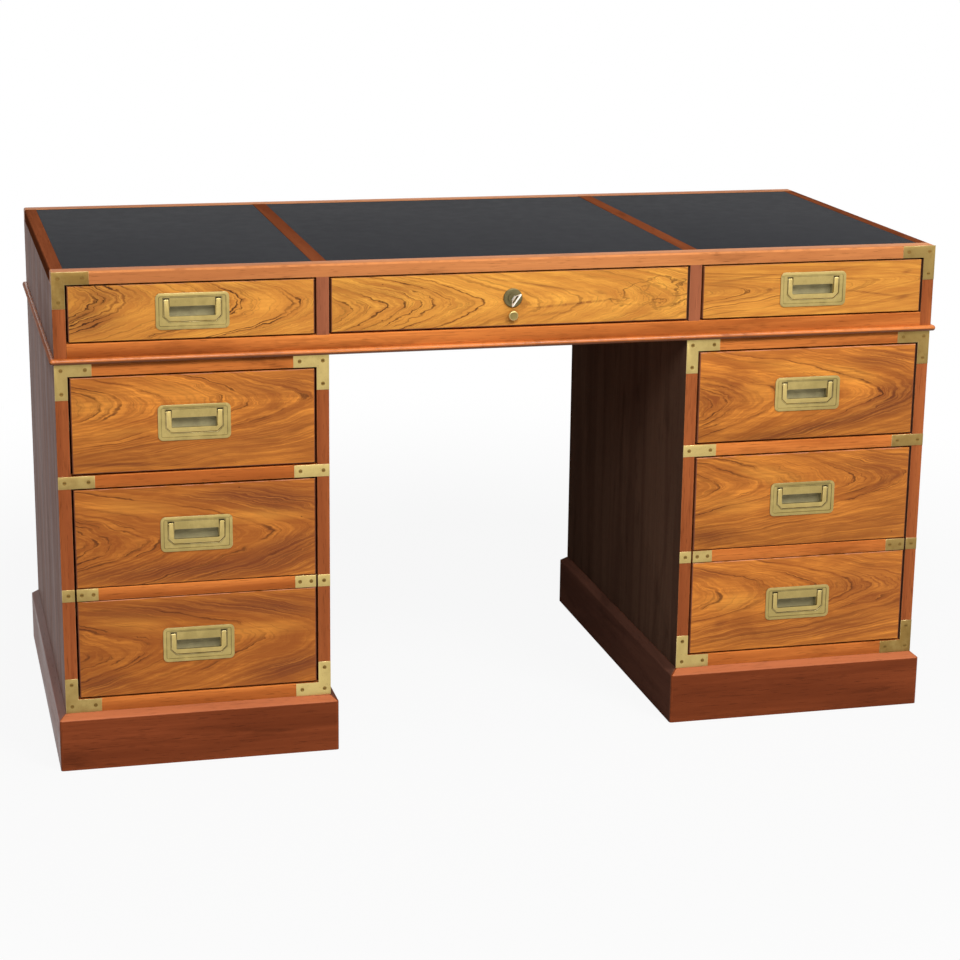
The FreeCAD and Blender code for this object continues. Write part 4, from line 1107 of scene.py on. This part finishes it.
class DESK_OT_drawer_fronts(bpy.types.Operator):
    """Veneer the drawer fronts and polish the false rails"""

    bl_idname = "desk.drawer_fronts"
    bl_label = "Drawer fronts"

    def execute(self, context):
        paint = colours()
        gold = (paint.case_veneer_light, paint.case_veneer_dark)
        red = (paint.pedestal_veneer_light, paint.pedestal_veneer_dark)
        for name in ("top_left", "top_centre", "top_right"):
            self.front(name, [(name, None)], gold, "case_drawer_veneer")
        for side in ("left", "right"):
            self.front("upper_" + side, [("upper_" + side, None)], red, "pedestal_drawer_veneer")
            file_drawer = "file_" + side
            rail_low, rail_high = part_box(file_drawer + "_false_rail")
            halves = [(file_drawer + "_upper", rail_high.z), (file_drawer + "_lower", rail_low.z)]
            self.front(file_drawer, halves, red, "pedestal_drawer_veneer")
            node = file_drawer + "_false_rail"
            rail = rounded_copy(node, node + "_polished", sizes().wood_arris, 2, longer(BOARD_EDGE))
            dress(rail, node, [wood("rail", "x")])
        for node in [name for name in frame["nodes"] if name.endswith("_drawer_box")]:
            paint_node(node, wood("drawer wood", "y"), wood("drawer wood", "x"))
        return {"FINISHED"}

    def front(self, name, panels, paints, slot):
        node = name + "_drawer_front"
        low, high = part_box(node)

        def outline(edge):
            at = middle_of(edge)
            on_side = same(at.x, low.x) or same(at.x, high.x) or same(at.z, low.z) or same(at.z, high.z)
            return same(at.y, low.y) and (on_side or edge.calc_length() > (high.x - low.x) * 0.9)

        piece = rounded_copy(node, node + "_veneered", sizes().front_arris, 2, outline)
        worn = piece.data.attributes[WORN].data

        # The lower edges and the sides of the front get painted shade, as in the gaps round it.
        def shaded_edges(face):
            lower_arris = worn[face.index].value > 0.5 and face.normal.z < UPPER_ARRIS
            return lower_arris or abs(face.normal.x) > FRONT_SIDE

        mark_dirt_and_shade(piece, shaded_edges)
        materials = []
        for panel, limit in panels:
            bottom, top = low.copy(), high.copy()
            if limit is not None and panel.endswith("upper"):
                bottom.z = limit
            elif limit is not None:
                top.z = limit
            materials.append(veneer(panel, (bottom + top) / 2, *paints))
        if len(materials) == 2:
            split = (panels[0][1] + panels[1][1]) / 2
            paint_faces(piece.data, lambda face: face.center.z < split)
        dress(piece, node, materials)


class DESK_OT_brass_mounts(bpy.types.Operator):
    """Round and age the corner brackets, the straps and their screws"""

    bl_idname = "desk.brass_mounts"
    bl_label = "Brass mounts"

    def execute(self, context):
        # the slots of the screws are dark brass: dirt and painted shade
        screw, slot = metal("screw brass"), metal("screw slot brass")
        for node in ("corner_brackets", "rail_straps", "file_left_straps", "file_right_straps"):
            piece = rounded_copy(node, node + "_aged", sizes().brass_arris, 2, longer(BRACKET_EDGE))
            self.screws(piece, 1)
            dress(piece, node, [metal("bracket brass"), screw, slot])
        screws = copy_of("brass_screws", "brass_screws_aged")
        self.screws(screws, 0)
        dress(screws, "brass_screws", [screw, slot])
        return {"FINISHED"}

    def screws(self, piece, head):
        """Gives loose parts as small as a screw the head's material, and their slots the next one."""
        mesh = bmesh.new()
        mesh.from_mesh(piece.data)
        left = set(mesh.faces)
        while left:
            part = [left.pop()]
            for face in part:
                for edge in face.edges:
                    for other in edge.link_faces:
                        if other in left:
                            left.discard(other)
                            part.append(other)
            places = [vertex.co for face in part for vertex in face.verts]
            front = min(place.y for place in places)
            if max(place.x for place in places) - min(place.x for place in places) < sizes().largest_screw:
                for face in part:
                    deep = face.calc_center_median().y > front + NEAR
                    face.material_index = head + int(deep)
        mesh.to_mesh(piece.data)
        mesh.free()


class DESK_OT_pulls(bpy.types.Operator):
    """Round and age the pull plates and the bails"""

    bl_idname = "desk.pulls"
    bl_label = "Pulls"

    def execute(self, context):
        for node in [name for name in frame["nodes"] if name.endswith("_pull_plate")]:
            self.plate(node)
        for node in [name for name in frame["nodes"] if name.endswith("_bail")]:
            piece = rounded_copy(node, node + "_aged", sizes().bail_arris, 3, longer(BAIL_EDGE))
            # darkens the upper sides of each bail
            mark_dirt_and_shade(piece, lambda face: face.normal.z > UPPER_SIDE)
            dress(piece, node, [metal("bail brass")])
        return {"FINISHED"}

    def plate(self, node):
        size = sizes()
        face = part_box(node.replace("_pull_plate", "_drawer_front"))[0].y
        piece = rounded_copy(node, node + "_aged", size.pull_arris, 2, longer(PLATE_EDGE, face + PLATE_DEPTH))
        low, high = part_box(node)
        field = low.y + size.rim_step

        def on_field(polygon):
            return polygon.normal.y < -PLATE_FIELD and same(polygon.calc_center_median().y, field)

        def area(polygon):
            at = polygon.center
            inside = min(at.x - low.x, high.x - at.x, at.z - low.z, high.z - at.z)
            if at.y > face + size.cup_start:
                return 1
            return 2 if inside < size.rim_width else 0

        # dark strips along the steps of the plate: dirt and painted shade
        strip_along_steps(piece, size.dirt_and_shade_width, on_field)
        paint_faces(piece.data, area)
        dress(piece, node, [metal("pull brass"), metal("dull brass"), metal("pull rim brass")])


class DESK_OT_lock(bpy.types.Operator):
    """Finish the lock, its key and the knob of the centre drawer"""

    bl_idname = "desk.lock"
    bl_label = "Lock and knob"

    def execute(self, context):
        arris = sizes().brass_arris
        case_low, case_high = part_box("lock_case")
        outline = longer(LOCK_EDGE, case_low.y + LOCK_DEPTH)
        lock = rounded_copy("lock_case", "lock_case_aged", arris, 2, outline)
        dress(lock, "lock_case", [metal("lock brass")])
        paint_node("lock_plug", metal("lock brass"))
        low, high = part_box("centre_knob")
        middle = (low + high) / 2
        outline = longer(KNOB_EDGE, low.y + KNOB_DEPTH)
        knob = rounded_copy("centre_knob", "centre_knob_turned", arris, 2, outline)

        def dished(polygon):
            across = Vector((polygon.center.x - middle.x, polygon.center.z - middle.z)).length
            return polygon.normal.y < -KNOB_FRONT and across < (high.x - middle.x) * KNOB_DISH

        paint_faces(knob.data, dished)
        dress(knob, "centre_knob", [metal("pull brass"), metal("knob face brass")])
        key = rounded_copy("key", "key_filed", arris, 2, longer(KEY_EDGE))
        self.shaded_slot(key, (case_low + case_high) / 2)
        dress(key, "key", [metal("nickelled key"), metal("screw slot brass")])
        return {"FINISHED"}

    def shaded_slot(self, key, axis):
        """Second material, the dark slot brass, on the walls of the slot in the key's bow: painted shade."""
        size = sizes()
        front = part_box("key")[0].y
        flat = max(key.data.polygons, key=lambda face: face.area).normal.copy()

        def in_slot(face):
            off_axis = Vector((face.center.x - axis.x, face.center.z - axis.z)).length
            deep = front + NEAR < face.center.y < front + size.key_slot_end
            wall = abs(face.normal.dot(flat)) < SLOT_WALL
            return wall and deep and off_axis < size.key_slot_half

        paint_faces(key.data, in_slot)


class DESK_PT_panel(bpy.types.Panel):
    """Lists the steps that dress the desk"""

    bl_label = "Campaign desk"
    bl_idname = "DESK_PT_panel"
    bl_space_type = "VIEW_3D"
    bl_region_type = "UI"
    bl_category = "Desk"

    def draw(self, context):
        for step in STEPS:
            self.layout.operator(step.bl_idname)
        for group in (context.scene.desk_sizes, context.scene.desk_colours, context.scene.desk_stage):
            box = self.layout.box()
            for name in group.__annotations__:
                box.prop(group, name)


GROUPS = {"desk_sizes": DeskSizes, "desk_colours": DeskColours, "desk_stage": DeskStage}
STEPS = (DESK_OT_stage, DESK_OT_writing_top, DESK_OT_carcass, DESK_OT_drawer_fronts, DESK_OT_brass_mounts,
         DESK_OT_pulls, DESK_OT_lock)


def register():
    for made in (*GROUPS.values(), *STEPS, DESK_PT_panel):
        bpy.utils.register_class(made)
    for name, group in GROUPS.items():
        setattr(bpy.types.Scene, name, PointerProperty(type=group))


def unregister():
    for name in GROUPS:
        delattr(bpy.types.Scene, name)
    for made in (DESK_PT_panel, *reversed(STEPS), *reversed(tuple(GROUPS.values()))):
        bpy.utils.unregister_class(made)


def main():
    register()
    make_straight_grain()
    make_veneer_figure()
    make_brass_age()
    make_edge_wear_and_highlight()
    for step in STEPS:
        family, name = step.bl_idname.split(".")
        getattr(getattr(bpy.ops, family), name)()


if __name__ == "__main__":
    main()
